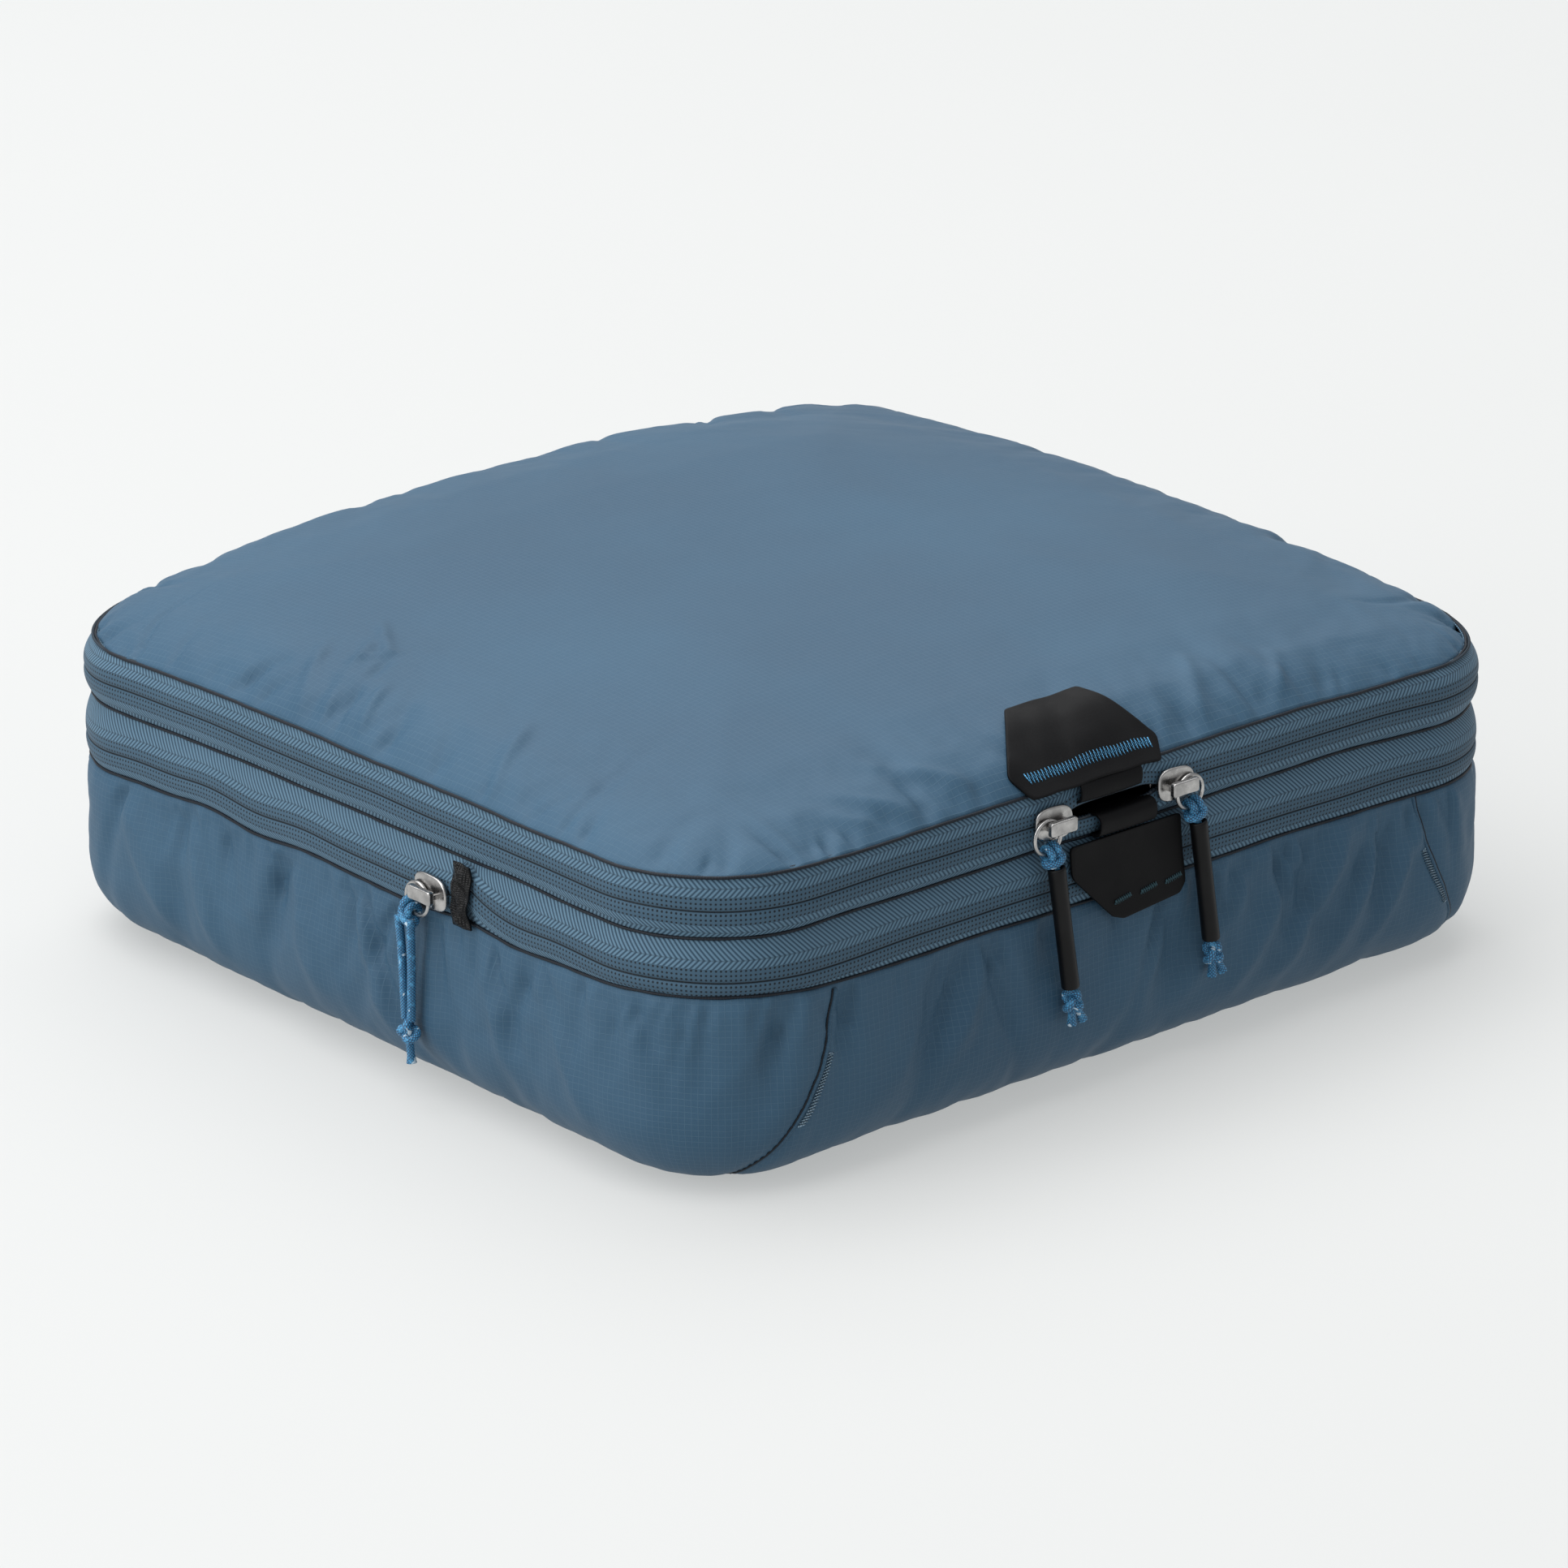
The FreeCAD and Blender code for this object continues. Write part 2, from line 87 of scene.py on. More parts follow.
LEFT_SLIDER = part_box("main_left_slider_body")
RIGHT_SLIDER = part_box("main_right_slider_body")
GARAGE_Y = (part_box("compression_zip_garage")[0].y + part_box("compression_zip_garage")[1].y) / 2
JOINTS = {j["name"]: j for j in frame["record"]["behaviour"]["joints"]}


def joint_point(name):
    return Vector(JOINTS[name]["pos_m"])


# ---------------------------------------------------------------- camera
CAMERA_AZIMUTH = math.radians(-41.1)
CAMERA_ELEVATION = math.radians(20.87)
CAMERA_DISTANCE = 2.5
CAMERA_AIM = Vector((0, 0, 0.052))
LENS, SENSOR = 169.5, 36
SHIFT = (0.0029, -0.0020)


def make_camera():
    """Long lens at the front-left corner, a little above the lid."""
    level = math.cos(CAMERA_ELEVATION)
    back = Vector((math.sin(CAMERA_AZIMUTH) * level, -math.cos(CAMERA_AZIMUTH) * level,
                   math.sin(CAMERA_ELEVATION)))
    data = bpy.data.cameras.new("camera")
    data.sensor_width = SENSOR
    data.lens = LENS
    data.shift_x, data.shift_y = SHIFT
    camera = bpy.data.objects.new("camera", data)
    bpy.context.scene.collection.objects.link(camera)
    camera.location = CAMERA_AIM + back * CAMERA_DISTANCE
    camera.rotation_mode = "QUATERNION"
    camera.rotation_quaternion = (-back).to_track_quat("-Z", "Y")
    bpy.context.scene.camera = camera


make_camera()


# ---------------------------------------------------------------- mesh helpers
def add_object(name, data):
    obj = bpy.data.objects.new(name, data)
    bpy.context.scene.collection.objects.link(obj)
    return obj


def mesh_object(name, points, faces, uvs=None, smooth=True):
    """Object from points, faces and one (u, v) per point."""
    mesh = bpy.data.meshes.new(name)
    mesh.from_pydata([tuple(p) for p in points], [], faces)
    if uvs is not None:
        layer = mesh.uv_layers.new(name="cut")
        corners = np.zeros(len(mesh.loops), int)
        mesh.loops.foreach_get("vertex_index", corners)
        layer.data.foreach_set("uv", np.asarray(uvs, float)[corners].ravel())
    mesh.validate()
    for polygon in mesh.polygons:
        polygon.use_smooth = smooth
    return add_object(name, mesh)


def grid_faces(rows, columns, wrap_rows=False, wrap_columns=False):
    """Quads of a grid whose point (i, j) has the index i * columns + j."""
    faces = []
    for i in range(rows if wrap_rows else rows - 1):
        for j in range(columns if wrap_columns else columns - 1):
            a = i * columns + j
            b = i * columns + (j + 1) % columns
            c = ((i + 1) % rows) * columns
            faces.append((a, b, c + (j + 1) % columns, c + j))
    return faces


def join_meshes(name, parts):
    """One object from (points, faces, uvs) parts."""
    points, faces, uvs = [], [], []
    for part_points, part_faces, part_uvs in parts:
        base = len(points)
        points.extend(part_points)
        uvs.extend(part_uvs)
        faces.extend(tuple(base + i for i in face) for face in part_faces)
    return mesh_object(name, points, faces, uvs)


def thicken(obj, thickness, offset=-1):
    modifier = obj.modifiers.new("thickness", "SOLIDIFY")
    modifier.thickness = thickness
    modifier.offset = offset
    return obj


def tube_part(path, radius, sides=8, caps=True, relief=None):
    """Tube along path as (points, faces, uvs); relief(angle, length) scales the radius."""
    path = [Vector(p) for p in path]
    points, uvs = [], []
    side = None
    run = 0.0
    for i, here in enumerate(path):
        way = (path[min(i + 1, len(path) - 1)] - path[max(i - 1, 0)]).normalized()
        if side is None:
            side = way.orthogonal().normalized()
        side = (side - way * side.dot(way)).normalized()
        other = way.cross(side)
        if i:
            run += (here - path[i - 1]).length
        here_radius = radius[i] if isinstance(radius, (list, tuple)) else radius
        for k in range(sides):
            angle = 2 * math.pi * k / sides
            size = here_radius * (relief(angle, run) if relief else 1)
            points.append(here + (side * math.cos(angle) + other * math.sin(angle)) * size)
            uvs.append((run, k / sides))
    faces = grid_faces(len(path), sides, wrap_columns=True)
    if caps:
        faces.append(tuple(range(sides))[::-1])
        faces.append(tuple((len(path) - 1) * sides + k for k in range(sides)))
    return points, faces, uvs


def smooth_path(points, steps=8):
    """Catmull-Rom curve through points."""
    points = [Vector(p) for p in points]
    ends = [points[0] * 2 - points[1]] + points + [points[-1] * 2 - points[-2]]
    result = []
    for a, b, c, d in zip(ends, ends[1:], ends[2:], ends[3:]):
        for k in range(steps):
            t = k / steps
            result.append(0.5 * ((2 * b) + (c - a) * t + (2 * a - 5 * b + 4 * c - d) * t ** 2
                                 + (3 * b - a - 3 * c + d) * t ** 3))
    return result + [points[-1]]


# ---------------------------------------------------------------- plan outline by arc length
# s runs from the middle of the rear wall to the left, along the left wall, the front and the right wall.
QUARTER = math.pi * CORNER_R / 2
SIDE_X = HALF_X - CORNER_R
SIDE_Y = HALF_Y - CORNER_R
LEGS = [("line", (0, HALF_Y), (-SIDE_X, HALF_Y), SIDE_X),
        ("arc", (-SIDE_X, SIDE_Y), 90, QUARTER),
        ("line", (-HALF_X, SIDE_Y), (-HALF_X, -SIDE_Y), 2 * SIDE_Y),
        ("arc", (-SIDE_X, -SIDE_Y), 180, QUARTER),
        ("line", (-SIDE_X, -HALF_Y), (SIDE_X, -HALF_Y), 2 * SIDE_X),
        ("arc", (SIDE_X, -SIDE_Y), 270, QUARTER),
        ("line", (HALF_X, -SIDE_Y), (HALF_X, SIDE_Y), 2 * SIDE_Y),
        ("arc", (SIDE_X, SIDE_Y), 0, QUARTER),
        ("line", (SIDE_X, HALF_Y), (0, HALF_Y), SIDE_X)]
PERIMETER = sum(leg[3] for leg in LEGS)
LEFT_START = SIDE_X + QUARTER
FRONT_START = LEFT_START + 2 * SIDE_Y + QUARTER
RIGHT_START = FRONT_START + 2 * SIDE_X + QUARTER
REAR_LEFT_CORNER = SIDE_X + QUARTER / 2
FRONT_LEFT_CORNER = FRONT_START - QUARTER / 2
FRONT_RIGHT_CORNER = RIGHT_START - QUARTER / 2


def front_s(x):
    return FRONT_START + x + SIDE_X


def left_s(y):
    return LEFT_START + SIDE_Y - y


def plan(s):
    """x, y and outward normal of the outline at arc lengths s."""
    s = np.mod(np.asarray(s, float), PERIMETER)
    result = np.zeros((4,) + s.shape)
    begin = 0.0
    for kind, a, b, length in LEGS:
        here = (s >= begin - 1e-9) & (s <= begin + length + 1e-9)
        run = s[here] - begin
        if kind == "line":
            way = (np.array(b) - np.array(a)) / length
            result[0, here] = a[0] + way[0] * run
            result[1, here] = a[1] + way[1] * run
            result[2, here] = way[1]
            result[3, here] = -way[0]
        else:
            angle = math.radians(b) + run / CORNER_R
            result[0, here] = a[0] + CORNER_R * np.cos(angle)
            result[1, here] = a[1] + CORNER_R * np.sin(angle)
            result[2, here] = np.cos(angle)
            result[3, here] = np.sin(angle)
        begin += length
    return result


def arc_length_at(x, y):
    """Arc length of the outline's point nearest to each (x, y)."""
    s = np.arange(0, PERIMETER, MM)
    px, py = plan(s)[:2]
    nearest = [int(np.argmin((px - a) ** 2 + (py - b) ** 2)) for a, b in zip(np.ravel(x), np.ravel(y))]
    return s[nearest].reshape(np.shape(x))


def hump(s, centre, width):
    """Bell of height 1 round an arc length."""
    gap = np.abs(np.mod(np.asarray(s) - centre + PERIMETER / 2, PERIMETER) - PERIMETER / 2)
    return np.exp(-((gap / width) ** 2))


def plateau(s, low, high, soft):
    return 1 / (1 + np.exp(-(s - low) / soft)) / (1 + np.exp((s - high) / soft))


def ripple(s, seed, size, waves=(7, 12, 19, 31)):
    """Smooth closed waviness round the outline."""
    rng = random.Random(seed)
    total = np.zeros_like(np.asarray(s, float))
    for count in waves:
        total += math.sqrt(waves[0] / count) * np.sin(2 * math.pi * (count * s / PERIMETER + rng.random()))
    return total * size / len(waves) ** 0.5


DROOP_WIDTH = 60 * MM
ZIP_PARTING = 2.6 * MM


def sag(s):
    """The two far corners of the zips droop a little."""
    rear_left = -3.8 * MM * hump(s, REAR_LEFT_CORNER, DROOP_WIDTH)
    return rear_left - 3.0 * MM * hump(s, FRONT_RIGHT_CORNER, DROOP_WIDTH)


def left_wall(s):
    return plateau(s, left_s(SIDE_Y - 0.03), left_s(-SIDE_Y + 0.02), 0.012)


def garage_dip(s):
    """The compression zip starts high at its end tab and curves down to its course."""
    past = np.clip(s - left_s(GARAGE_Y - 3 * MM), 0, None)
    return np.where(s >= left_s(GARAGE_Y + 2 * MM), 4.5 * MM * np.exp(-past / (9 * MM)), 0)


# height, seed of its waviness, and how wavy it is in millimetres
LINES = {"wall_top": (WALL_TOP_Z, 1, 0.45), "lower_chain": (LOWER_CHAIN_Z, 2, 0.4),
         "crease": (CREASE_Z, 3, 0.4), "upper_chain": (UPPER_CHAIN_Z, 4, 0.3),
         "lid_seam": (LID_SEAM_Z, 5, 0.4)}


def line_z(name, s):
    """Height of one of the five seams or chains round the cube."""
    height, seed, wave = LINES[name]
    z = height + sag(s) + ripple(s, seed, wave * MM)
    if name in ("wall_top", "lower_chain"):
        z = z + left_wall(s) * ripple(s, 21, 0.8 * MM, (17, 23, 29))
    if name == "lower_chain":
        z = z + garage_dip(s)
    if name == "wall_top":
        z = z + 3.0 * MM * hump(s, FRONT_LEFT_CORNER, 0.05)
    return z


def zip_opening(s):
    """Half the height of the parted stretch between the two main sliders."""
    return ZIP_PARTING * plateau(s, front_s(LEFT_SLIDER[1].x), front_s(RIGHT_SLIDER[0].x), 2.0 * MM)


# ---------------------------------------------------------------- materials
class Look:
    """A material with one Principled shader, and short calls for the nodes that feed it."""

    def __init__(self, name, **sockets):
        self.material = bpy.data.materials.new(name)
        self.material.use_nodes = True
        self.tree = self.material.node_tree
        self.shader = self.tree.nodes["Principled BSDF"]
        for socket, value in sockets.items():
            self.shader.inputs[socket.replace("_", " ")].default_value = value

    def node(self, kind, inputs=(), **settings):
        node = self.tree.nodes.new(kind)
        for key, value in settings.items():
            setattr(node, key, value)
        for socket, value in dict(inputs).items():
            self.feed(node.inputs[socket], value)
        return node

    def feed(self, socket, value):
        if isinstance(value, bpy.types.NodeSocket):
            self.tree.links.new(value, socket)
        else:
            socket.default_value = value

    def math(self, operation, *values):
        node = self.node("ShaderNodeMath", operation=operation)
        for socket, value in zip(node.inputs, values):
            self.feed(socket, value)
        return node.outputs[0]

    def plus(self, a, b):
        return self.math("ADD", a, b)

    def minus(self, a, b):
        return self.math("SUBTRACT", a, b)

    def times(self, a, b):
        return self.math("MULTIPLY", a, b)

    def wave(self, coordinate, pitch):
        """From 0 to 0.5 and back within each pitch."""
        return self.math("PINGPONG", self.math("DIVIDE", coordinate, pitch), 0.5)

    def mix(self, factor, a, b):
        node = self.node("ShaderNodeMix", data_type="RGBA")
        for index, value in ((0, factor), (6, a), (7, b)):
            self.feed(node.inputs[index], value)
        return node.outputs[2]

    def ramp(self, value, low, high, out_low=0.0, out_high=1.0):
        node = self.node("ShaderNodeMapRange", interpolation_type="SMOOTHSTEP")
        for index, number in enumerate((value, low, high, out_low, out_high)):
            self.feed(node.inputs[index], number)
        return node.outputs[0]

    def uv(self):
        """The two cut coordinates, in metres."""
        cut = self.node("ShaderNodeUVMap", uv_map="cut").outputs[0]
        return self.node("ShaderNodeSeparateXYZ", {0: cut}).outputs[:2]

    def place(self):
        return self.node("ShaderNodeTexCoord").outputs["Object"]

    def noise(self, scale, detail=3.0):
        inputs = {"Vector": self.place(), "Scale": scale, "Detail": detail, "Roughness": 0.55}
        return self.node("ShaderNodeTexNoise", inputs).outputs[0]

    def bump(self, height, distance, strength=1.0):
        node = self.node("ShaderNodeBump", {"Height": height, "Distance": distance, "Strength": strength})
        self.tree.links.new(node.outputs[0], self.shader.inputs["Normal"])

    def colour(self, value):
        self.feed(self.shader.inputs["Base Color"], value)

    def roughness(self, value):
        self.feed(self.shader.inputs["Roughness"], value)


def rgb(r, g, b):
    return (r, g, b, 1.0)


def stripe(look, coordinate, pitch, width):
    """1 on a thin line every pitch along a coordinate."""
    return look.ramp(look.wave(coordinate, pitch), width, width * 0.35)


RIPSTOP_PITCH = 2.1 * MM
WEAVE_PITCH = 0.32 * MM


def ripstop_material():
    """Thin crisp nylon with a fine raised grid, a slight satin and uneven tone."""
    look = Look("ripstop", Sheen_Weight=0.02, Sheen_Roughness=0.35, Specular_IOR_Level=0.2)
    u, v = look.uv()
    grid = look.math("MAXIMUM", *(stripe(look, way, RIPSTOP_PITCH, 0.07) for way in (u, v)))
    weave = look.times(look.wave(u, WEAVE_PITCH), look.wave(v, WEAVE_PITCH))
    broad = look.noise(9.0, 3.0)
    fine = look.noise(900.0, 2.0)
    base = look.mix(look.ramp(broad, 0.3, 0.7), rgb(0.032, 0.078, 0.130), rgb(0.042, 0.095, 0.152))
    base = look.mix(look.times(grid, 0.34), base, rgb(0.085, 0.155, 0.215))
    base = look.mix(look.times(fine, 0.22), base, rgb(0.018, 0.054, 0.094))
    look.colour(base)
    look.roughness(look.ramp(broad, 0.3, 0.7, 0.50, 0.60))
    height = look.plus(grid, look.times(weave, 1.2))
    look.bump(height, 0.06 * MM, 0.7)
    return look.material


SPINE_V = 7.4 * MM          # where the twill's two rows meet, from the chain
TWILL_PITCH = 1.75 * MM
PINHOLE_PITCH = 1.55 * MM
PINHOLE_ROW = 1.5 * MM
PINHOLE_START = 0.45 * MM
PINHOLE_END = 4.7 * MM


def tape_material():
    """Herringbone zip tape: two mirrored rows of twill, pinholes beside the chain, and painted shade that
    darkens the tape along its edge at the chain.
    """
    look = Look("zip_tape", Sheen_Weight=0.04, Specular_IOR_Level=0.25, Roughness=0.7)
    u, v = look.uv()
    slant = look.math("ABSOLUTE", look.minus(v, SPINE_V))
    twill = look.ramp(look.wave(look.plus(u, slant), TWILL_PITCH), 0.10, 0.34)
    near_chain = look.ramp(v, PINHOLE_END + 0.2 * MM, PINHOLE_END - 0.2 * MM)
    dot_u = look.minus(look.wave(u, PINHOLE_PITCH), 0.5)
    dot_v = look.minus(look.wave(look.minus(v, PINHOLE_START), PINHOLE_ROW), 0.5)
    squares = [look.math("POWER", way, 2.0) for way in (dot_u, dot_v)]
    reach = look.math("SQRT", look.plus(*squares))
    pinhole = look.times(look.ramp(reach, 0.28, 0.16), near_chain)
    band_tone = look.times(twill, look.minus(1.0, near_chain))
    tone = look.noise(14.0, 3.0)
    base = look.mix(look.ramp(tone, 0.3, 0.7), rgb(0.018, 0.046, 0.076), rgb(0.026, 0.060, 0.096))
    base = look.mix(look.times(band_tone, 0.85), base, rgb(0.100, 0.185, 0.260))
    base = look.mix(look.times(near_chain, 0.45), base, rgb(0.060, 0.120, 0.175))
    base = look.mix(look.times(pinhole, 0.95), base, rgb(0.003, 0.006, 0.010))
    spine = look.ramp(slant, 0.35 * MM, 0.12 * MM)
    base = look.mix(look.times(spine, 0.35), base, rgb(0.015, 0.028, 0.042))
    # painted shade: the tape turns near-black along its edge at the chain, standing in for the shadowed gap
    # between the two tapes
    edge = look.ramp(v, 0.62 * MM, 0.30 * MM)
    base = look.mix(look.times(edge, 0.95), base, rgb(0.003, 0.005, 0.008))
    look.colour(base)
    height = look.minus(band_tone, look.times(pinhole, 1.5))
    look.bump(height, 0.16 * MM, 0.8)
    return look.material


def coil_material():
    look = Look("zip_coil", Roughness=0.4)
    tone = look.noise(700.0, 2.0)
    look.colour(look.mix(tone, rgb(0.012, 0.022, 0.034), rgb(0.024, 0.040, 0.058)))
    look.bump(tone, 0.05 * MM, 0.4)
    return look.material


def thread_material(name, dark, light, twist=0.9 * MM):
    """Twisted sewing thread."""
    look = Look(name, Roughness=0.6, Specular_IOR_Level=0.3)
    u, v = look.uv()
    ply = look.math("PINGPONG", look.plus(look.math("DIVIDE", u, twist), v), 0.5)
    tone = look.noise(500.0, 2.0)
    base = look.mix(look.ramp(ply, 0.05, 0.4), dark, light)
    look.colour(look.mix(look.times(tone, 0.35), base, dark))
    look.bump(ply, 0.10 * MM, 0.8)
    return look.material


def tab_material():
    """Coated fabric, matte black, with a faint grain and scuffed patches."""
    look = Look("tab_black", Specular_IOR_Level=0.12)
    grain = look.noise(1500.0, 3.0)
    scuff = look.noise(60.0, 4.0)
    base = look.mix(look.ramp(scuff, 0.45, 0.75), rgb(0.0016, 0.0017, 0.0022), rgb(0.0036, 0.0038, 0.0045))
    look.colour(look.mix(look.times(grain, 0.3), base, rgb(0.006, 0.006, 0.007)))
    look.roughness(look.ramp(scuff, 0.3, 0.8, 0.50, 0.66))
    look.bump(look.plus(grain, scuff), 0.06 * MM, 0.5)
    return look.material


def nickel_material():
    look = Look("nickel", Metallic=1.0)
    cloud = look.noise(220.0, 4.0)
    brushed = look.noise(1400.0, 2.0)
    look.colour(look.mix(look.ramp(cloud, 0.3, 0.75), rgb(0.31, 0.305, 0.30), rgb(0.50, 0.49, 0.48)))
    look.roughness(look.ramp(cloud, 0.3, 0.75, 0.34, 0.20))
    look.bump(brushed, 0.03 * MM, 0.35)
    return look.material


def cord_material():
    """Braided cord: mid-blue strands in a lattice, with pale flecks."""
    look = Look("cord_blue", Roughness=0.6, Sheen_Weight=0.1, Sheen_Roughness=0.45)
    u, v = look.uv()
    turns = look.times(v, 8.0)
    along = look.math("DIVIDE", u, 1.05 * MM)
    strands = [look.math("PINGPONG", cross(along, turns), 0.5) for cross in (look.plus, look.minus)]
    lattice = look.times(*strands)
    tone = look.noise(420.0, 2.0)
    base = look.mix(look.ramp(lattice, 0.02, 0.16), rgb(0.006, 0.050, 0.115), rgb(0.045, 0.265, 0.50))
    base = look.mix(look.ramp(tone, 0.52, 0.70, 0.0, 0.5), base, rgb(0.09, 0.38, 0.66))
    fleck = look.noise(520.0, 0.0)
    base = look.mix(look.ramp(fleck, 0.72, 0.76, 0.0, 0.85), base, rgb(0.50, 0.62, 0.70))
    look.colour(base)
    look.bump(lattice, 0.25 * MM, 0.9)
    return look.material


def grip_material():
    look = Look("grip_black", Roughness=0.42, Specular_IOR_Level=0.2)
    grain = look.noise(900.0, 3.0)
    scuff = look.noise(90.0, 3.0)
    base = look.mix(look.ramp(scuff, 0.4, 0.8), rgb(0.0018, 0.0018, 0.0022), rgb(0.0045, 0.0045, 0.005))
    look.colour(base)
    look.bump(grain, 0.04 * MM, 0.5)
    return look.material


def webbing_material():
    """Shiny black woven tape."""
    look = Look("garage_webbing", Roughness=0.16, Specular_IOR_Level=0.16)
    u, v = look.uv()
    rib = look.wave(v, 0.7 * MM)
    warp = look.wave(u, 0.9 * MM)
    tone = look.noise(260.0, 3.0)
    look.colour(look.mix(look.ramp(tone, 0.55, 0.75), rgb(0.0015, 0.0016, 0.002), rgb(0.007, 0.008, 0.010)))
    look.bump(look.plus(rib, look.times(warp, 0.6)), 0.25 * MM, 0.9)
    return look.material


def binding_material():
    look = Look("binding", Roughness=0.8, Specular_IOR_Level=0.2)
    u, _ = look.uv()
    rib = look.wave(u, 0.8 * MM)
    tone = look.noise(40.0, 3.0)
    look.colour(look.mix(look.ramp(rib, 0.1, 0.4), rgb(0.014, 0.020, 0.028), rgb(0.035, 0.050, 0.066)))
    look.bump(look.plus(rib, tone), 0.1 * MM, 0.7)
    return look.material


MATERIALS = {
    "ripstop": ripstop_material(), "zip_tape": tape_material(), "zip_coil": coil_material(),
    "binding": binding_material(), "tab_black": tab_material(), "nickel": nickel_material(),
    "cord_blue": cord_material(), "grip_black": grip_material(), "garage_webbing": webbing_material(),
    "blue_thread": thread_material("blue_thread", rgb(0.03, 0.15, 0.30), rgb(0.13, 0.45, 0.74)),
    "teal_thread": thread_material("teal_thread", rgb(0.010, 0.026, 0.034), rgb(0.035, 0.095, 0.12)),
    "bartack_thread": thread_material("bartack_thread", rgb(0.10, 0.17, 0.23), rgb(0.30, 0.42, 0.52)),
    # near-black seam thread, which also serves as painted shade in the seam grooves
    "seam_thread_and_shade": thread_material("seam_thread_and_shade", rgb(0.002, 0.004, 0.008), rgb(0.005, 0.010, 0.018)),
}


def finish_piece(obj, body, slot, *nodes, material=None):
    """Gives a piece its material, chosen by its slot unless material is given, and its body, and hides the CAD
    nodes it stands for.
    """
    obj.data.materials.clear()
    obj.data.materials.append(MATERIALS[material or slot])
    if body:
        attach(obj, body)
    if nodes:
        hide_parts(*nodes)
    return obj


def dress_nodes(slot, *names):
    """Gives CAD nodes that stay visible their material."""
    for name in names:
        node = frame["nodes"][name]
        node.data.materials.clear()
        node.data.materials.append(MATERIALS[slot])


# ---------------------------------------------------------------- cords and pulls
CORD_D = 2.8 * MM
BRAID_PITCH = 2.1 * MM
CORD_STEP = 0.35 * MM        # between the rings of points along a braided cord
TAPER_RUN = 2.5 * MM
GRIP_LENGTH = 43 * MM
GRIP_WAY = Vector((0.15, -0.015, -1)).normalized()


def braid(angle, run):
    """Radius relief of an eight-strand braid."""
    turn = 2 * math.pi * run / BRAID_PITCH
    return 1 + 0.055 * math.sin(4 * angle + turn) * math.sin(4 * angle - turn)


def route_line(name, points):
    """Points along the NURBS spline of a route, which is then removed."""
    curve = bpy.data.curves.new(name + "_route", "CURVE")
    curve.dimensions = "3D"
    curve.resolution_u = 12
    spline = curve.splines.new("NURBS")
    spline.points.add(len(points) - 1)
    for target, point in zip(spline.points, points):
        target.co = (*point, 1)
    spline.order_u = 3
    spline.use_endpoint_u = True
    holder = add_object(name + "_route", curve)
    line = bpy.data.meshes.new_from_object(holder)
    path = [v.co.copy() for v in line.vertices]
    bpy.data.objects.remove(holder)
    bpy.data.meshes.remove(line)
    return path


def even_path(path, step):
    """The same line with evenly spaced points."""
    lengths = np.concatenate([[0], np.cumsum([(b - a).length for a, b in zip(path, path[1:])])])
    count = max(2, int(lengths[-1] / step) + 1)
    targets = np.linspace(0, lengths[-1], count)
    axes = [np.interp(targets, lengths, [p[k] for p in path]) for k in range(3)]
    return [Vector(p) for p in zip(*axes)]


def braided(path, radius=CORD_D / 2, taper=1):
    """Braided cord mesh along a path; taper scales its last millimetres."""
    path = even_path(path, CORD_STEP)
    left = [(len(path) - 1 - i) * CORD_STEP for i in range(len(path))]
    sizes = [radius * (1 + (taper - 1) * max(0, 1 - run / TAPER_RUN)) for run in left]
    return tube_part(path, sizes, sides=20, relief=braid)


def knot_path(centre, way, across, radius, height):
    """A pulled-tight overhand knot: a squeezed trefoil standing along way."""
    third = way.cross(across).normalized()
    path = []
    for k in range(61):
        t = 2 * math.pi * k / 60
        x = (math.sin(t) + 2 * math.sin(2 * t)) / 3
        y = (math.cos(t) - 2 * math.cos(2 * t)) / 3
        z = -math.sin(3 * t)
        path.append(centre + across * x * radius + way * y * height + third * z * radius * 0.55)
    return path


def knot_piece(name, top, way, across, tails):
    """Knot and its cut tails below it."""
    centre = top + way * 4.0 * MM
    parts = [braided(knot_path(centre, way, across, 2.9 * MM, 3.4 * MM), 1.35 * MM)]
    for lean, length in tails:
        tail_way = (way + across * lean).normalized()
        start = centre + way * 2.2 * MM + across * lean * 2 * MM
        bend = start + tail_way * length * 0.5 + across * lean * 0.6 * MM
        tail = smooth_path([start, bend, start + tail_way * length])
        parts.append(braided(tail, 1.3 * MM, taper=1.3))
    return join_meshes(name, parts)


def hitch_piece(name, point, tangent, out, way):
    """Cord wrapped twice round the ring's wire, with the loop that crosses in front of it."""
    parts = []
    for shift in (-1.45 * MM, 1.45 * MM):
        loop = []
        for k in range(25):
            a = 2 * math.pi * k / 24
            turn = out * math.cos(a) * 2.15 * MM - way * math.sin(a) * 2.0 * MM
            loop.append(point + tangent * shift + turn)
        parts.append(braided(loop, 1.3 * MM))
    front = []
    for k in range(29):
        a = 2 * math.pi * k / 28
        front.append(point + way * 2.3 * MM + tangent * math.cos(a) * 3.3 * MM
                     + out * (0.9 + 1.9 * math.sin(a)) * MM + way * 0.5 * math.sin(a) * MM)
    parts.append(braided(front, 1.35 * MM))
    return join_meshes(name, parts)


def lathe(name, start, way, profile, sides=40):
    """Solid of revolution from (along, radius) pairs; the profile is closed on itself."""
    side = way.orthogonal().normalized()
    other = way.cross(side)
    points, uvs = [], []
    for along, radius in profile:
        for k in range(sides):
            angle = 2 * math.pi * k / sides
            points.append(start + way * along + (side * math.cos(angle) + other * math.sin(angle)) * radius)
            uvs.append((along, k / sides))
    faces = grid_faces(len(profile), sides, wrap_rows=True, wrap_columns=True)
    return mesh_object(name, points, faces, uvs)


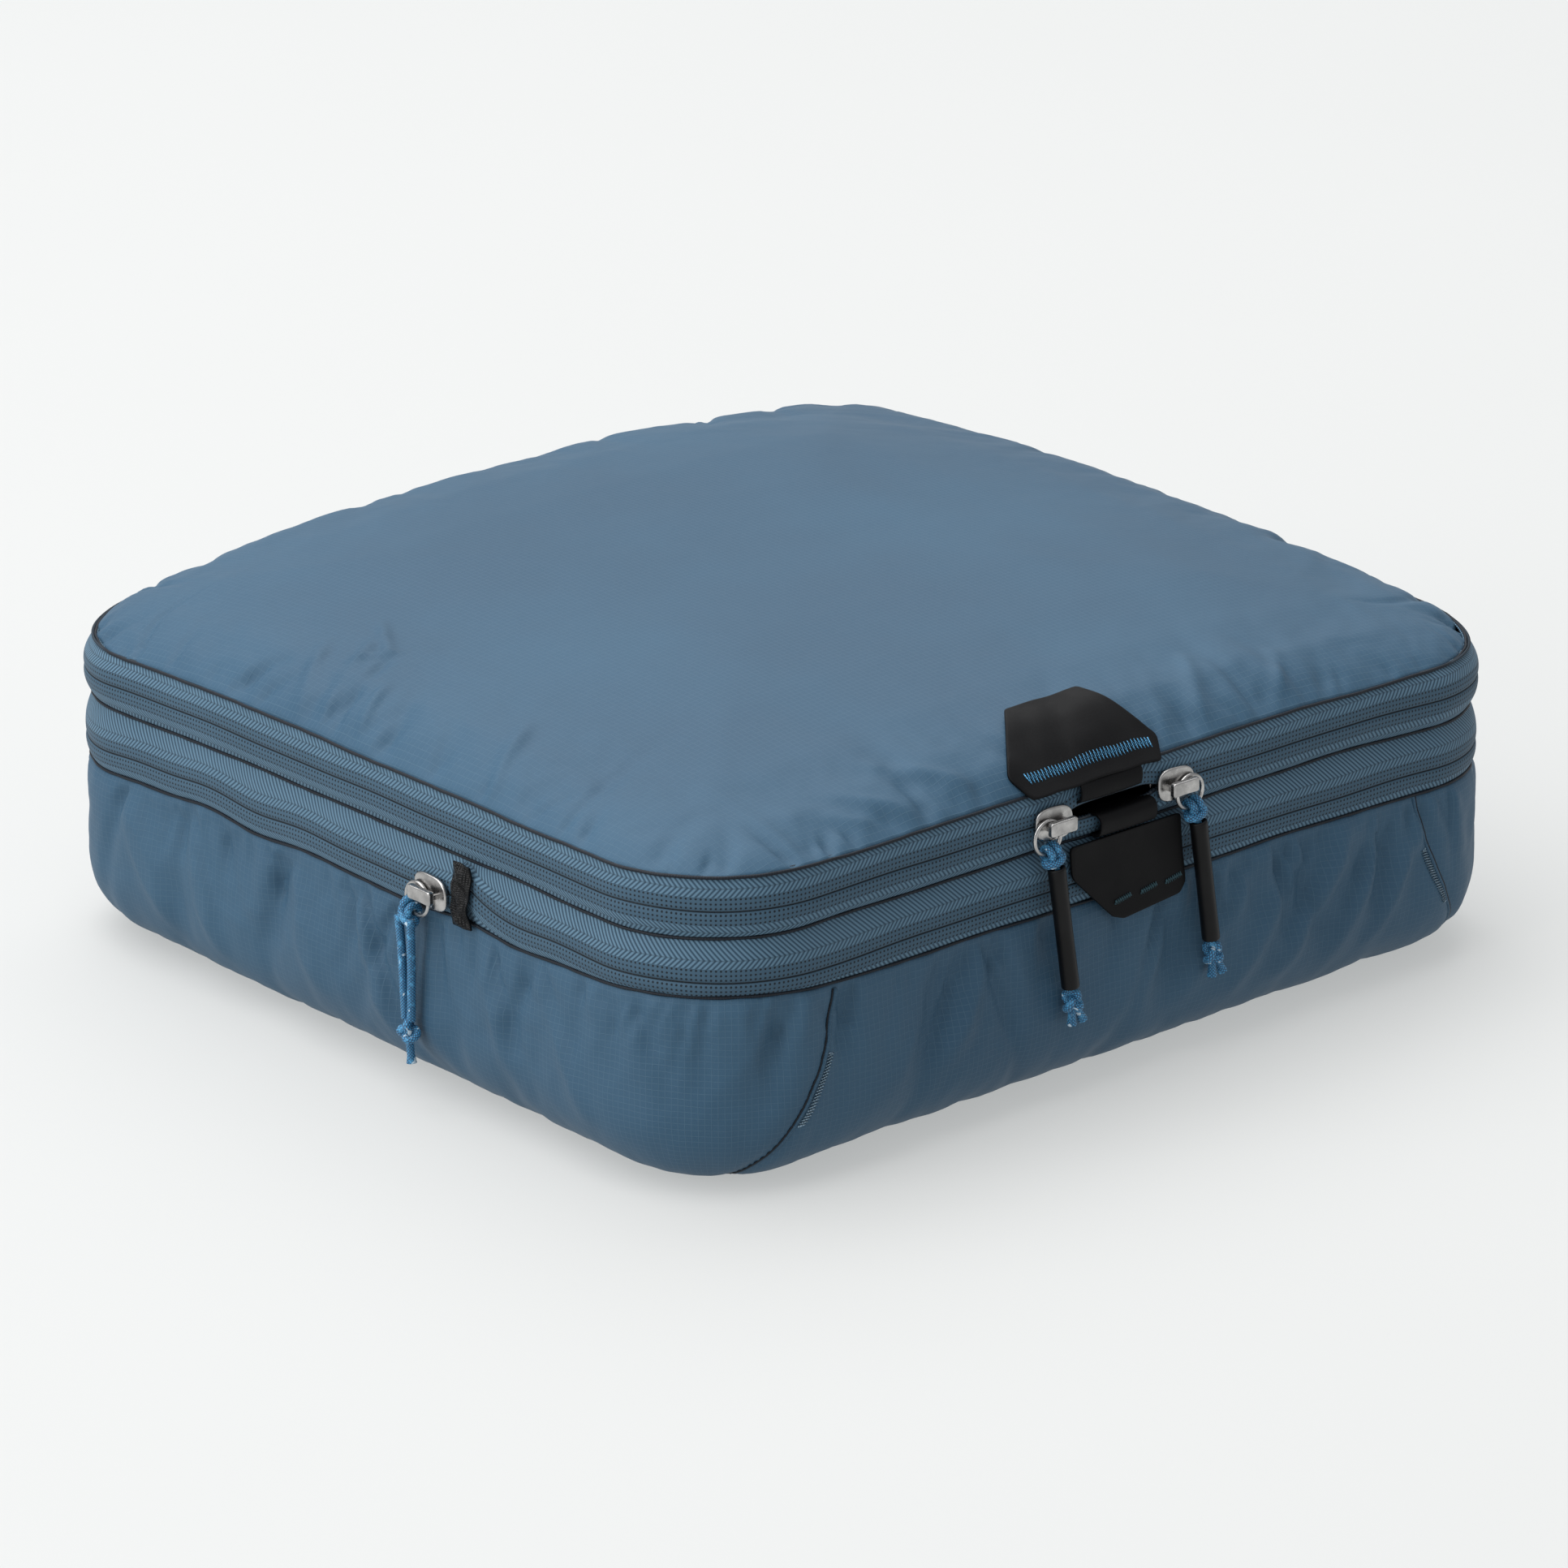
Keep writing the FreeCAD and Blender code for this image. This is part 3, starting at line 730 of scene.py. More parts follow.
def grip_piece(name, start):
    """Moulded tube with softly rounded lips and a very slight waist."""
    outer, bore, end = 3.0 * MM, 1.75 * MM, GRIP_LENGTH
    lip = [(0.25 * MM, bore), (0, bore + 0.35 * MM), (0, outer - 0.5 * MM), (0.15 * MM, outer - 0.15 * MM),
           (0.6 * MM, outer)]
    shares = [k / 12 for k in range(1, 12)]
    waist = [(t * end, outer * (1 - 0.035 * math.sin(math.pi * t))) for t in shares]
    profile = lip + waist + [(end - along, radius) for along, radius in reversed(lip)]
    return lathe(name, start, GRIP_WAY, profile)


def main_pull(name, swing):
    """Cord hitched on a main slider's ring, its grip, and the knot that holds the grip on."""
    at = joint_point(name + "_pull_lift")
    top = at + Vector((0.5, -2.0, -3.6)) * MM
    route = [at + Vector((0, -0.4, -1.5)) * MM, at + Vector((0.1, -1.5, -3.3)) * MM,
             top + GRIP_WAY * 3.5 * MM, top + GRIP_WAY * (GRIP_LENGTH + 2 * MM)]
    path = route_line(name, route)
    body = name + "_pull"
    cord = join_meshes(name + "_pull_cord", [braided(path)])
    finish_piece(cord, body, "cord_blue", name + "_cord")
    tangent = Vector((math.cos(swing), 0, math.sin(swing)))
    hitch = hitch_piece(name + "_hitch", at, tangent, Vector((0, -1, 0)), GRIP_WAY)
    finish_piece(hitch, body, "cord_blue")
    grip = grip_piece(name + "_tube", top + GRIP_WAY * 1.0 * MM)
    finish_piece(grip, body, "grip_black", name + "_grip")
    knot = knot_piece(name + "_end_knot", route[-1], GRIP_WAY, Vector((1, 0, 0.15)).normalized(),
                      ((-0.18, 6.0 * MM), (0.42, 6.5 * MM)))
    finish_piece(knot, body, "cord_blue", name + "_knot")
    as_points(path)


def compression_pull(swing):
    """Bare loop of cord on the compression slider's ring, knotted at its foot."""
    at = joint_point("compression_pull_lift")
    loop = [(-1.5, -5.0, -38), (-2.3, -5.1, -20), (-2.6, -5.4, -9.5), (-3.1, -5.8, -2.7),
            (3.1, -5.8, -2.7), (2.6, -5.4, -9.5), (2.3, -5.1, -20), (1.5, -5.0, -38)]
    face = -HALF_X
    route = [Vector((face + out * MM, at.y - along * MM, at.z + up * MM)) for along, out, up in loop]
    tangent = Vector((0, -math.cos(swing), math.sin(swing)))
    hitch = hitch_piece("compression_hitch", at, tangent, Vector((-1, 0, 0)), Vector((0, 0, -1)))
    finish_piece(hitch, "compression_pull", "cord_blue")
    foot = (route[0] + route[-1]) / 2
    knot = knot_piece("compression_end_knot", foot, Vector((0, 0, -1)), Vector((0, -1, 0)),
                      ((0.12, 8.5 * MM),))
    finish_piece(knot, "compression_pull", "cord_blue", "compression_knot")
    for side, strand_route, pieces in (("left", route[3::-1], [hitch, knot]), ("right", route[4:], [])):
        path = route_line("compression_" + side, strand_route)
        strand = join_meshes("compression_" + side + "_strand", [braided(path)])
        finish_piece(strand, "compression_pull", "cord_blue", "compression_cord")
        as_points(path)
        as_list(pieces)


main_pull("main_left", math.radians(15))
main_pull("main_right", math.radians(15))
compression_pull(math.radians(-40))


# the lid's rise over its seam by distance inwards from it, in millimetres
DOME_RISE = ((0, 0), (4, 4.4), (10, 8.6), (21, 13.2), (45, 18.0), (80, 21.6), (120, 23.6), (175, 24.4))
LID_INSET = 1.5 * MM


def lid_inset(s):
    """How far in the lid's seam lies: more where the two far corners are pulled down."""
    return LID_INSET + 3.2 * MM * (hump(s, REAR_LEFT_CORNER, 0.05) + hump(s, FRONT_RIGHT_CORNER, 0.05))


# ---------------------------------------------------------------- bands that run round the cube
def band_part(s, rows, closed):
    """Grid of rows of (inset, height, cut distance) over the arc lengths s."""
    x, y, nx, ny = plan(s)
    columns = len(rows)
    points = np.zeros((len(s), columns, 3))
    uvs = np.zeros((len(s), columns, 2))
    for j, (inset, z, v) in enumerate(rows):
        points[:, j, 0] = x - nx * inset
        points[:, j, 1] = y - ny * inset
        points[:, j, 2] = z
        uvs[:, j, 0] = s
        uvs[:, j, 1] = v
    faces = grid_faces(len(s), columns, wrap_rows=closed)
    return points.reshape(-1, 3), faces, uvs.reshape(-1, 2)


COIL_PITCH = 1.35 * MM
COIL_STEP = 0.34 * MM
NODE_LEVELS = {"low": "lower", "high": "upper"}


def stations(step, begin=None, end=None):
    """Arc lengths round the whole cube, or from begin to end."""
    if begin is None:
        return np.linspace(0, PERIMETER, int(PERIMETER / step), endpoint=False)
    return np.linspace(begin, end, int((end - begin) / step) + 1)


def tape_rows(s, chain, seam, seam_inset, opening):
    """Cross-section of one tape: curled in at the chain, bowed, tucked in at its seam."""
    chain_z = line_z(chain, s)
    seam_z = line_z(seam, s)
    up = 1 if LINES[seam][0] > LINES[chain][0] else -1
    edge_z = chain_z + up * (0.28 * MM + opening)
    height = np.abs(seam_z - edge_z)
    dent = 0.35 * MM * ripple(s, 40 + LINES[seam][1], 1.0, (23, 37, 59))
    rows = [(2.0 * MM, edge_z + up * 0.9 * MM, 0), (0.75 * MM, edge_z + up * 0.1 * MM, 0)]
    for k in range(13):
        t = k / 12
        bow = seam_inset * t ** 2.4 + 0.15 * MM + 0.5 * MM * (1 - t) ** 6
        inset = bow + dent * math.sin(math.pi * t) * t
        rows.append((inset, edge_z + (seam_z - edge_z) * t, t * height + 0.3 * MM))
    return rows


def coil_part(s, chain, up, opening):
    """Half a coil: a ridged strip behind the tape's edge."""
    chain_z = line_z(chain, s) + up * opening
    ridge = 0.5 + 0.5 * np.sin(2 * math.pi * s / COIL_PITCH + (0 if up > 0 else math.pi))
    rows = []
    for inset, reach in ((1.0, 2.7), (1.2, 0.1), (1.9, -0.25), (2.45, 0.5), (2.3, 2.7)):
        swell = 0.25 * MM * ridge * (inset > 1.5)
        rows.append((inset * MM + swell, chain_z + up * (reach - 0.35 * ridge) * MM, 0))
    return band_part(s, rows, False)


def zip_stations(kind, step):
    """Arc lengths along a zip, and how far it is parted at each."""
    if kind == "compression":
        return stations(step), 0
    s = stations(step, HINGE_HALF_X, PERIMETER - HINGE_HALF_X)
    return s, zip_opening(s)


def make_tapes():
    """The four tapes, and the coil halves behind them."""
    halves = (("compression", "low", "lower_shell", "lower_chain", "wall_top", 2.4 * MM),
              ("compression", "high", "zip_ring", "lower_chain", "crease", 3.6 * MM),
              ("main", "low", "zip_ring", "upper_chain", "crease", 3.6 * MM),
              ("main", "high", "lid", "upper_chain", "lid_seam", 0.7 * MM))
    for kind, level, body, chain, seam, seam_inset in halves:
        s, parted = zip_stations(kind, 1.6 * MM)
        if seam == "lid_seam":
            seam_inset = lid_inset(s) + seam_inset
        rows = tape_rows(s, chain, seam, seam_inset, parted)
        tape = mesh_object(kind + "_tape_" + level, *band_part(s, rows, kind == "compression"))
        thicken(tape, 0.45 * MM, offset=0)
        finish_piece(tape, body, "zip_tape", "%s_zip_%s_tape" % (kind, NODE_LEVELS[level]))
    for kind, level, body, chain, _, _ in halves:
        s, parted = zip_stations(kind, COIL_STEP)
        side = -1 if level == "low" else 1
        coil = mesh_object(kind + "_coil_" + level, *coil_part(s, chain, side, parted))
        finish_piece(coil, body, "zip_coil", "%s_zip_%s_coil" % (kind, NODE_LEVELS[level]))


def make_hinge_strip():
    """One strip of cloth at the rear that joins lid and zip ring, folded along the hinge line."""
    s = np.linspace(-HINGE_HALF_X - 4 * MM, HINGE_HALF_X + 4 * MM, 160)
    low = line_z("crease", s)
    high = line_z("lid_seam", s)
    rows = []
    for k in range(17):
        t = k / 16
        bow = 3.4 * MM * (1 - t) ** 2.6 + (lid_inset(s) + 0.7 * MM) * t ** 2.6
        rows.append((bow + 0.5 * MM, low + (high - low) * t, t * (high - low)))
    points, faces, uvs = band_part(s, rows, False)
    strip = mesh_object("hinge_strip", points, faces, uvs)
    thicken(strip, 0.4 * MM, offset=0)
    finish_piece(strip, None, "ripstop", "hinge_strip_lower", "hinge_strip_upper")
    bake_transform(strip)


def make_gusset():
    """Gathered skirt inside the lower wall, seen when the cube is expanded and from inside."""
    s = stations(2.2 * MM)
    top = line_z("crease", s)
    gather = ripple(s, 61, 0.35 * MM, (47, 61, 83, 101))
    rows = [(3.5 * MM, top - 0.2 * MM, 0), (4.1 * MM, top - 2.0 * MM, 2 * MM)]
    for k in range(16):
        t = k / 15
        z = (top - 3 * MM) * (1 - t) + 14.5 * MM * t
        rows.append((4.6 * MM + gather * (0.4 + 0.6 * math.sin(3 * t)), z, 3 * MM + t * 70 * MM))
    points, faces, uvs = band_part(s, rows, True)
    skirt = mesh_object("gusset_skirt", points, faces, uvs)
    thicken(skirt, 0.35 * MM, offset=0)
    finish_piece(skirt, "zip_ring", "ripstop", "gusset")


def make_bindings():
    """Woven binding over the raw seam edges, inside."""
    s = stations(2.5 * MM)
    for name, body, line, node in (("wall_binding", "lower_shell", "wall_top", "wall_seam_binding"),
                                   ("lid_binding", "lid", "lid_seam", "lid_seam_binding")):
        z = line_z(line, s)
        rows = []
        for inset, drop, v in ((3.2, 0.2, 0), (3.7, -0.3, 1), (4.1, 1.0, 2), (4.0, 3.6, 5), (3.4, 4.2, 6)):
            rows.append((inset * MM, z - drop * MM, v * MM))
        points, faces, uvs = band_part(s, rows, True)
        finish_piece(thicken(mesh_object(name, points, faces, uvs), 0.3 * MM, 0), body, "binding", node)


def make_seam_lines_and_shade():
    """Near-black tube at each seam round the cube: the seam thread, and painted shade for the shadowed
    selvedge and groove there.
    """
    s = stations(2.0 * MM)
    for name, body, line, inset, rise in (("seam_line_wall", "lower_shell", "wall_top", 1.7 * MM, 0.1),
                                          ("seam_line_crease", "zip_ring", "crease", 3.0 * MM, 0.0),
                                          ("seam_line_lid", "lid", "lid_seam", lid_inset(s), -0.1)):
        x, y, nx, ny = plan(s)
        wobble = ripple(s, 70, 0.12 * MM, (80, 121))
        place = inset + wobble
        path = np.stack([x - nx * place, y - ny * place, line_z(line, s) + rise * MM], 1)
        path = [Vector(p) for p in path] + [Vector(path[0])]
        finish_piece(join_meshes(name, [tube_part(path, 0.55 * MM, 6, caps=False)]), body, "binding",
                     material="seam_thread_and_shade")


make_tapes()
make_hinge_strip()
make_gusset()
make_bindings()
make_seam_lines_and_shade()


# ---------------------------------------------------------------- cloth
SIM_FRAMES = 20
PRESSURE = 0.12
CLOTH_SETTINGS = {"quality": 5, "mass": 0.02, "tension_stiffness": 25, "compression_stiffness": 25,
                  "shear_stiffness": 12, "bending_stiffness": 0.5, "tension_damping": 8,
                  "compression_damping": 8, "shear_damping": 8, "bending_damping": 0.8, "air_damping": 2.0,
                  "vertex_group_mass": "pin", "use_pressure": True, "uniform_pressure_force": PRESSURE}


def inflate(obj, start, nudge, pinned, grow):
    """Lets pinned cloth grow in its plane under a little pressure, and returns how far it moved from start."""
    set_points(obj, start + nudge)
    group = obj.vertex_groups.new(name="pin")
    group.add([int(i) for i in pinned], 1.0, "REPLACE")
    modifier = obj.modifiers.new("cloth", "CLOTH")
    for name, value in CLOTH_SETTINGS.items():
        setattr(modifier.settings, name, value)
    modifier.settings.shrink_min = -grow
    modifier.settings.effector_weights.gravity = 0
    modifier.collision_settings.use_collision = False
    modifier.point_cache.frame_start = 1
    modifier.point_cache.frame_end = SIM_FRAMES
    scene = bpy.context.scene
    for number in range(1, SIM_FRAMES + 1):
        scene.frame_set(number)
    evaluated = obj.evaluated_get(bpy.context.evaluated_depsgraph_get())
    settled = get_points(evaluated)
    obj.modifiers.remove(modifier)
    obj.vertex_groups.remove(group)
    scene.frame_set(1)
    return settled - start


def get_points(obj):
    points = np.zeros(len(obj.data.vertices) * 3)
    obj.data.vertices.foreach_get("co", points)
    return points.reshape(-1, 3)


def set_points(obj, points):
    obj.data.vertices.foreach_set("co", np.asarray(points, float).ravel())
    obj.data.update()


def normals_of(obj):
    normals = np.zeros(len(obj.data.vertices) * 3)
    obj.data.vertices.foreach_get("normal", normals)
    return normals.reshape(-1, 3)


def square_to_outline(columns, rows, inset):
    """Even grid over the rounded plan outline: x, y, and how near the edge each point is, 0 to 1."""
    a, b = np.meshgrid(np.linspace(-1, 1, columns), np.linspace(-1, 1, rows))
    half = np.array([HALF_X - inset, HALF_Y - inset])
    radius = CORNER_R - inset
    near = np.maximum(np.abs(a), np.abs(b))
    safe = np.maximum(near, 1e-6)
    edge_x = np.abs(a / safe) * half[0]
    edge_y = np.abs(b / safe) * half[1]
    cx, cy = half - radius
    in_corner = (edge_x > cx) & (edge_y > cy)
    qa = edge_x ** 2 + edge_y ** 2
    qb = -2 * (edge_x * cx + edge_y * cy)
    qc = cx ** 2 + cy ** 2 - radius ** 2
    root = (-qb + np.sqrt(np.maximum(qb ** 2 - 4 * qa * qc, 0))) / (2 * qa)
    factor = np.where(in_corner, np.minimum(root, 1), 1)
    scale = 1 - near ** 5 * (1 - factor)
    return a * half[0] * scale, b * half[1] * scale, near


def edge_distance(x, y, inset):
    """How far each point is from the rounded outline, inwards."""
    qx = np.abs(x) - (HALF_X - CORNER_R)
    qy = np.abs(y) - (HALF_Y - CORNER_R)
    outside = np.hypot(np.maximum(qx, 0), np.maximum(qy, 0))
    return CORNER_R - inset - outside - np.minimum(np.maximum(qx, qy), 0)


def gathers(seed, count, s, depth, length, width, deep, slant=0.5):
    """Valleys that fan out from random places of a seam and fade behind it. Size ranges are in millimetres."""
    rng = random.Random(seed)
    total = np.zeros_like(s)
    for _ in range(count):
        centre = rng.uniform(0, PERIMETER)
        reach = rng.uniform(*(size * MM for size in length))
        wide = rng.uniform(*(size * MM for size in width))
        lean = rng.uniform(-slant, slant)
        gap = np.mod(s - centre - lean * depth + PERIMETER / 2, PERIMETER) - PERIMETER / 2
        shape = np.exp(-((gap / (wide * (0.7 + depth / reach))) ** 2)) * np.exp(-((depth / reach) ** 2))
        total -= rng.uniform(*(size * MM for size in deep)) * shape * np.minimum(1, depth / (5 * MM))
    return total


def fold(points, normals, start, end, width, height):
    """Raises a soft crease along the line from start to end, in millimetres, fading at its ends."""
    start, end = np.array(start) * MM, np.array(end) * MM
    way = end - start
    t = np.clip(((points - start) @ way) / (way @ way), 0, 1)
    gap = np.linalg.norm(points - start - t[:, None] * way, axis=1)
    along = np.sin(math.pi * t) ** 0.7
    points += normals * (height * MM * along * np.exp(-((gap / (width * MM)) ** 2)))[:, None]


def subdivide(obj):
    """Applies one level of smooth subdivision."""
    modifier = obj.modifiers.new("fine", "SUBSURF")
    modifier.levels = modifier.render_levels = 1
    evaluated = obj.evaluated_get(bpy.context.evaluated_depsgraph_get())
    mesh = bpy.data.meshes.new_from_object(evaluated)
    obj.modifiers.remove(modifier)
    old = obj.data
    obj.data = mesh
    mesh.name = obj.name
    bpy.data.meshes.remove(old)


LID_GROWTH = 0.012
WALL_GROWTH = 0.02
FOLD_GAIN = 1.8
# creases: where each starts and ends, its width and its height, in millimetres
LID_FOLDS = (((-183, 16, 112), (-140, 38, 128), 2.2, 1.5), ((-183, 10, 112), (-148, 22, 127), 1.8, -1.2),
             ((-182, 28, 112), (-150, 52, 127), 2.5, 1.1), ((-150, 20, 126), (-132, 48, 129), 2.0, 1.0),
             ((-160, 35, 125), (-142, 20, 127), 1.8, 0.9), ((-182, -2, 112), (-158, 10, 125), 2.0, 1.2),
             ((-60, -172, 113), (-95, -140, 125), 3.0, 1.0), ((-90, -172, 113), (-118, -146, 124), 2.6, 0.9),
             ((30, -172, 113), (52, -140, 125), 3.0, 1.0), ((66, -173, 113), (84, -150, 123), 2.4, 0.9),
             ((-183, -70, 112), (-150, -52, 126), 2.6, 1.0), ((-100, -172, 113), (-140, -150, 122), 2.2, 1.0))


def make_lid():
    """Top panel: a crowned, puckered sheet sewn to the main zip."""
    columns, rows = ((126, 120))
    x, y, near = square_to_outline(columns, rows, LID_INSET)
    distance = edge_distance(x, y, LID_INSET)
    rise = np.interp(distance / MM, [p[0] for p in DOME_RISE], [p[1] for p in DOME_RISE]) * MM
    corner_gap = np.hypot(HALF_X - 14 * MM - np.abs(x), HALF_Y - 14 * MM - np.abs(y))
    rise *= 1 - 0.5 * np.exp(-((corner_gap / (75 * MM)) ** 2))
    rise *= 1 + 0.28 * np.clip(y / HALF_Y, 0, 1) * (1 - (x / HALF_X) ** 4)
    around = arc_length_at(x, y)
    edge = near > 1 - 1e-9
    waviness = line_z("lid_seam", around) - LID_SEAM_Z
    z = LID_SEAM_Z + rise + waviness * np.exp(-((distance / (40 * MM)) ** 2))
    _, _, nx, ny = plan(around)
    draw_in = (lid_inset(around) - LID_INSET) * np.exp(-distance / (14 * MM))
    x = x - nx * draw_in
    y = y - ny * draw_in
    points = np.stack([x, y, z], -1).reshape(-1, 3)
    uvs = np.stack([x, y], -1).reshape(-1, 2)
    lid = mesh_object("top_fabric", points, grid_faces(rows, columns), uvs)
    pinned = np.flatnonzero(edge.ravel())
    nudge = np.zeros(points.shape)
    nudge[:, 2] = np.random.default_rng(5).normal(0, 0.15 * MM, len(points)) * (~edge.ravel())
    step = np.clip(inflate(lid, points, nudge, pinned, LID_GROWTH), -3 * MM, 3 * MM)
    share = 0.10 + 0.75 * np.exp(-((distance.ravel() / (38 * MM)) ** 2))
    set_points(lid, points + step * share[:, None])
    subdivide(lid)
    points = get_points(lid)
    normals = normals_of(lid)
    depth = edge_distance(points[:, 0], points[:, 1], LID_INSET)
    s = arc_length_at(points[:, 0], points[:, 1])
    relief = gathers(11, 170, s, depth, (5, 14), (1.1, 2.4), (0.6, 1.6))
    relief += gathers(12, 40, s, depth, (14, 38), (2.0, 4.8), (0.9, 2.1), 0.8)
    points += normals * relief[:, None]
    for start, end, width, height in LID_FOLDS:
        fold(points, normals, start, end, width, height * FOLD_GAIN)
    set_points(lid, points)
    return lid


FOOT_R = 27 * MM
LOOP_GAP = 3.2 * MM    # how far the left wall may bulge before it reaches the compression loop
# a front corner seam: heights, and how far it is from the middle there
SEAM_X = ((66, 129), (36, 139), (0, 165))
WALL_FOLDS = (((52, -177, 60), (16, -174, 17), 4.5, 1.5), ((76, -177, 63), (40, -174, 14), 5.0, 1.9),
              ((99, -177, 64), (62, -174, 14), 4.5, 1.7), ((120, -177, 64), (86, -174, 14), 4.2, 1.6),
              ((134, -177, 62), (106, -174, 15), 3.6, 1.4), ((88, -177, 60), (70, -175, 34), 2.4, -0.9),
              ((110, -177, 60), (92, -175, 32), 2.4, -0.9), ((20, -177, 60), (-8, -175, 20), 5.0, 1.2),
              ((-60, -177, 60), (-86, -174, 24), 4.0, 1.0), ((-84, -177, 58), (-104, -174, 26), 3.2, 0.9),
              ((-187, 120, 60), (-186, 96, 16), 5.0, 1.4), ((-187, 84, 60), (-186, 70, 14), 4.5, 1.3),
              ((-187, 30, 60), (-186, 14, 18), 4.5, 1.2), ((-187, -6, 60), (-186, -22, 16), 4.0, 1.3),
              ((-187, -70, 60), (-186, -84, 18), 4.2, 1.2), ((-187, -100, 58), (-182, -122, 16), 4.2, 1.3),
              ((-180, -138, 56), (-158, -162, 14), 4.6, 1.4), ((-150, -170, 60), (-170, -150, 22), 3.4, -0.9))


def seam_curve(side, z):
    """Arc length and inset of a front corner seam at heights z."""
    heights = [p[0] * MM for p in SEAM_X][::-1]
    across = [p[1] * MM for p in SEAM_X][::-1]
    x = np.polyval(np.polyfit(heights, across, 2), z)
    turn = np.arcsin(np.clip((x - SIDE_X) / CORNER_R, 0, 1))
    along = np.where(x < SIDE_X, x, SIDE_X + CORNER_R * turn)
    inset = np.where(z < FOOT_R, FOOT_R - np.sqrt(np.maximum(FOOT_R ** 2 - (FOOT_R - z) ** 2, 0)), 0)
    return front_s(side * along), inset


def seam_line(side, count=60):
    """Points of a front corner seam on the plain wall, with their outward directions."""
    z = np.linspace(WALL_TOP_Z - MM, 1.5 * MM, count)
    s, inset = seam_curve(side, z)
    x, y, nx, ny = plan(s)
    return np.stack([x - nx * inset, y - ny * inset, z], 1), np.stack([nx, ny, 0 * nx], 1)


def make_wall():
    """Lower walls and their rounded foot: one puckered skirt, sewn to the zip and to the base."""
    s = stations(3.3 * MM)
    x, y, nx, ny = plan(s)
    top = line_z("wall_top", s)
    straight = 14
    profile = [("wall", k / straight) for k in range(straight)] + [("foot", k / 8) for k in range(9)]
    profile.append(("base", 26 * MM))
    points = np.zeros((len(s), len(profile), 3))
    uvs = np.zeros((len(s), len(profile), 2))
    for j, (kind, t) in enumerate(profile):
        angle = math.pi / 2 * (t if kind == "foot" else 1)
        if kind == "wall":
            z = top + (FOOT_R - top) * t
            inset = 1.8 * MM * math.exp(-t * 14) + 0 * s
            cut = top - z
        else:
            z = FOOT_R * (1 - math.sin(angle)) + 0.3 * MM + 0 * s
            inset = (t if kind == "base" else FOOT_R * (1 - math.cos(angle))) + 0 * s
            cut = (top - FOOT_R) + FOOT_R * angle + (t - FOOT_R if kind == "base" else 0)
        points[:, j] = np.stack([x - nx * inset, y - ny * inset, z], 1)
        uvs[:, j] = np.stack([s, cut], 1)
    count = len(profile)
    flat = points.reshape(-1, 3)
    wall = mesh_object("wall_fabric", flat, grid_faces(len(s), count, wrap_rows=True), uvs.reshape(-1, 2))
    index = np.arange(len(flat)).reshape(len(s), count)
    pinned = np.concatenate([index[:, 0], index[:, -1], index[:, -2]])
    nudge = np.random.default_rng(8).normal(0, 0.12 * MM, flat.shape)
    nudge[pinned] = 0
    step = inflate(wall, flat, nudge, pinned, WALL_GROWTH)
    far = np.linalg.norm(step, axis=1, keepdims=True)
    set_points(wall, flat + 0.7 * step * np.minimum(1, 4 * MM / np.maximum(far, 1e-9)))
    subdivide(wall)
    points = get_points(wall)
    normals = normals_of(wall)
    around = arc_length_at(points[:, 0], points[:, 1])
    depth = np.maximum(line_z("wall_top", around) - points[:, 2], 0)
    relief = gathers(31, 170, around, depth, (9, 26), (1.1, 2.4), (0.9, 2.0))
    relief += gathers(32, 64, around, depth, (24, 55), (2.0, 4.6), (1.9, 3.9), 0.5)
    relief -= 0.6 * gathers(33, 40, around, depth, (22, 60), (3, 7), (0.8, 1.8), 0.35)
    relief = np.maximum(relief, -0.6 * MM - 0.3 * depth) * np.clip(points[:, 2] / (12 * MM), 0, 1)
    points += normals * relief[:, None]
    for start, end, width, height in WALL_FOLDS:
        fold(points, normals, start, end, width, height * FOLD_GAIN)
    for side in (-1, 1):
        line, _ = seam_line(side)
        gap = np.full(len(points), 1.0)
        for place in line:
            gap = np.minimum(gap, np.linalg.norm(points - place, axis=1))
        points += normals * (-1.3 * MM * np.exp(-((gap / (2.2 * MM)) ** 2)))[:, None]
    points[:, 0] = np.maximum(points[:, 0], -HALF_X - LOOP_GAP)
    points[:, 2] = np.maximum(points[:, 2], 0.3 * MM)
    set_points(wall, points)
    return wall


def make_base():
    """Flat panel under the cube."""
    inset = 22 * MM
    x, y, near = square_to_outline(60, 58, inset)
    z = 0.45 * MM + 0.25 * MM * np.sin(x * 31) * np.sin(y * 27) ** 2 * (near < 0.98)
    points = np.stack([x, y, z], -1).reshape(-1, 3)
    base = mesh_object("base_fabric", points, grid_faces(58, 60), points[:, :2])
    thicken(base, 0.3 * MM, 1)
    return base


lid_fabric = thicken(make_lid(), 0.3 * MM)
finish_piece(lid_fabric, "lid", "ripstop", "top_panel")
wall_fabric = thicken(make_wall(), 0.3 * MM)
finish_piece(wall_fabric, "lower_shell", "ripstop", "left_side_panel", "right_side_panel", "centre_panel")
finish_piece(make_base(), "lower_shell", "ripstop", "centre_panel")
LID_SURFACE = BVHTree.FromObject(lid_fabric, bpy.context.evaluated_depsgraph_get())
WALL_SURFACE = BVHTree.FromObject(wall_fabric, bpy.context.evaluated_depsgraph_get())


# ---------------------------------------------------------------- corner seams and bartacks
def on_wall(point, normal, proud):
    """The wall fabric's outer face at a point, and proud of it."""
    point, normal = Vector(point), Vector(normal)
    hit = WALL_SURFACE.ray_cast(point + normal * 20 * MM, -normal)[0] or point
    return hit + normal * proud


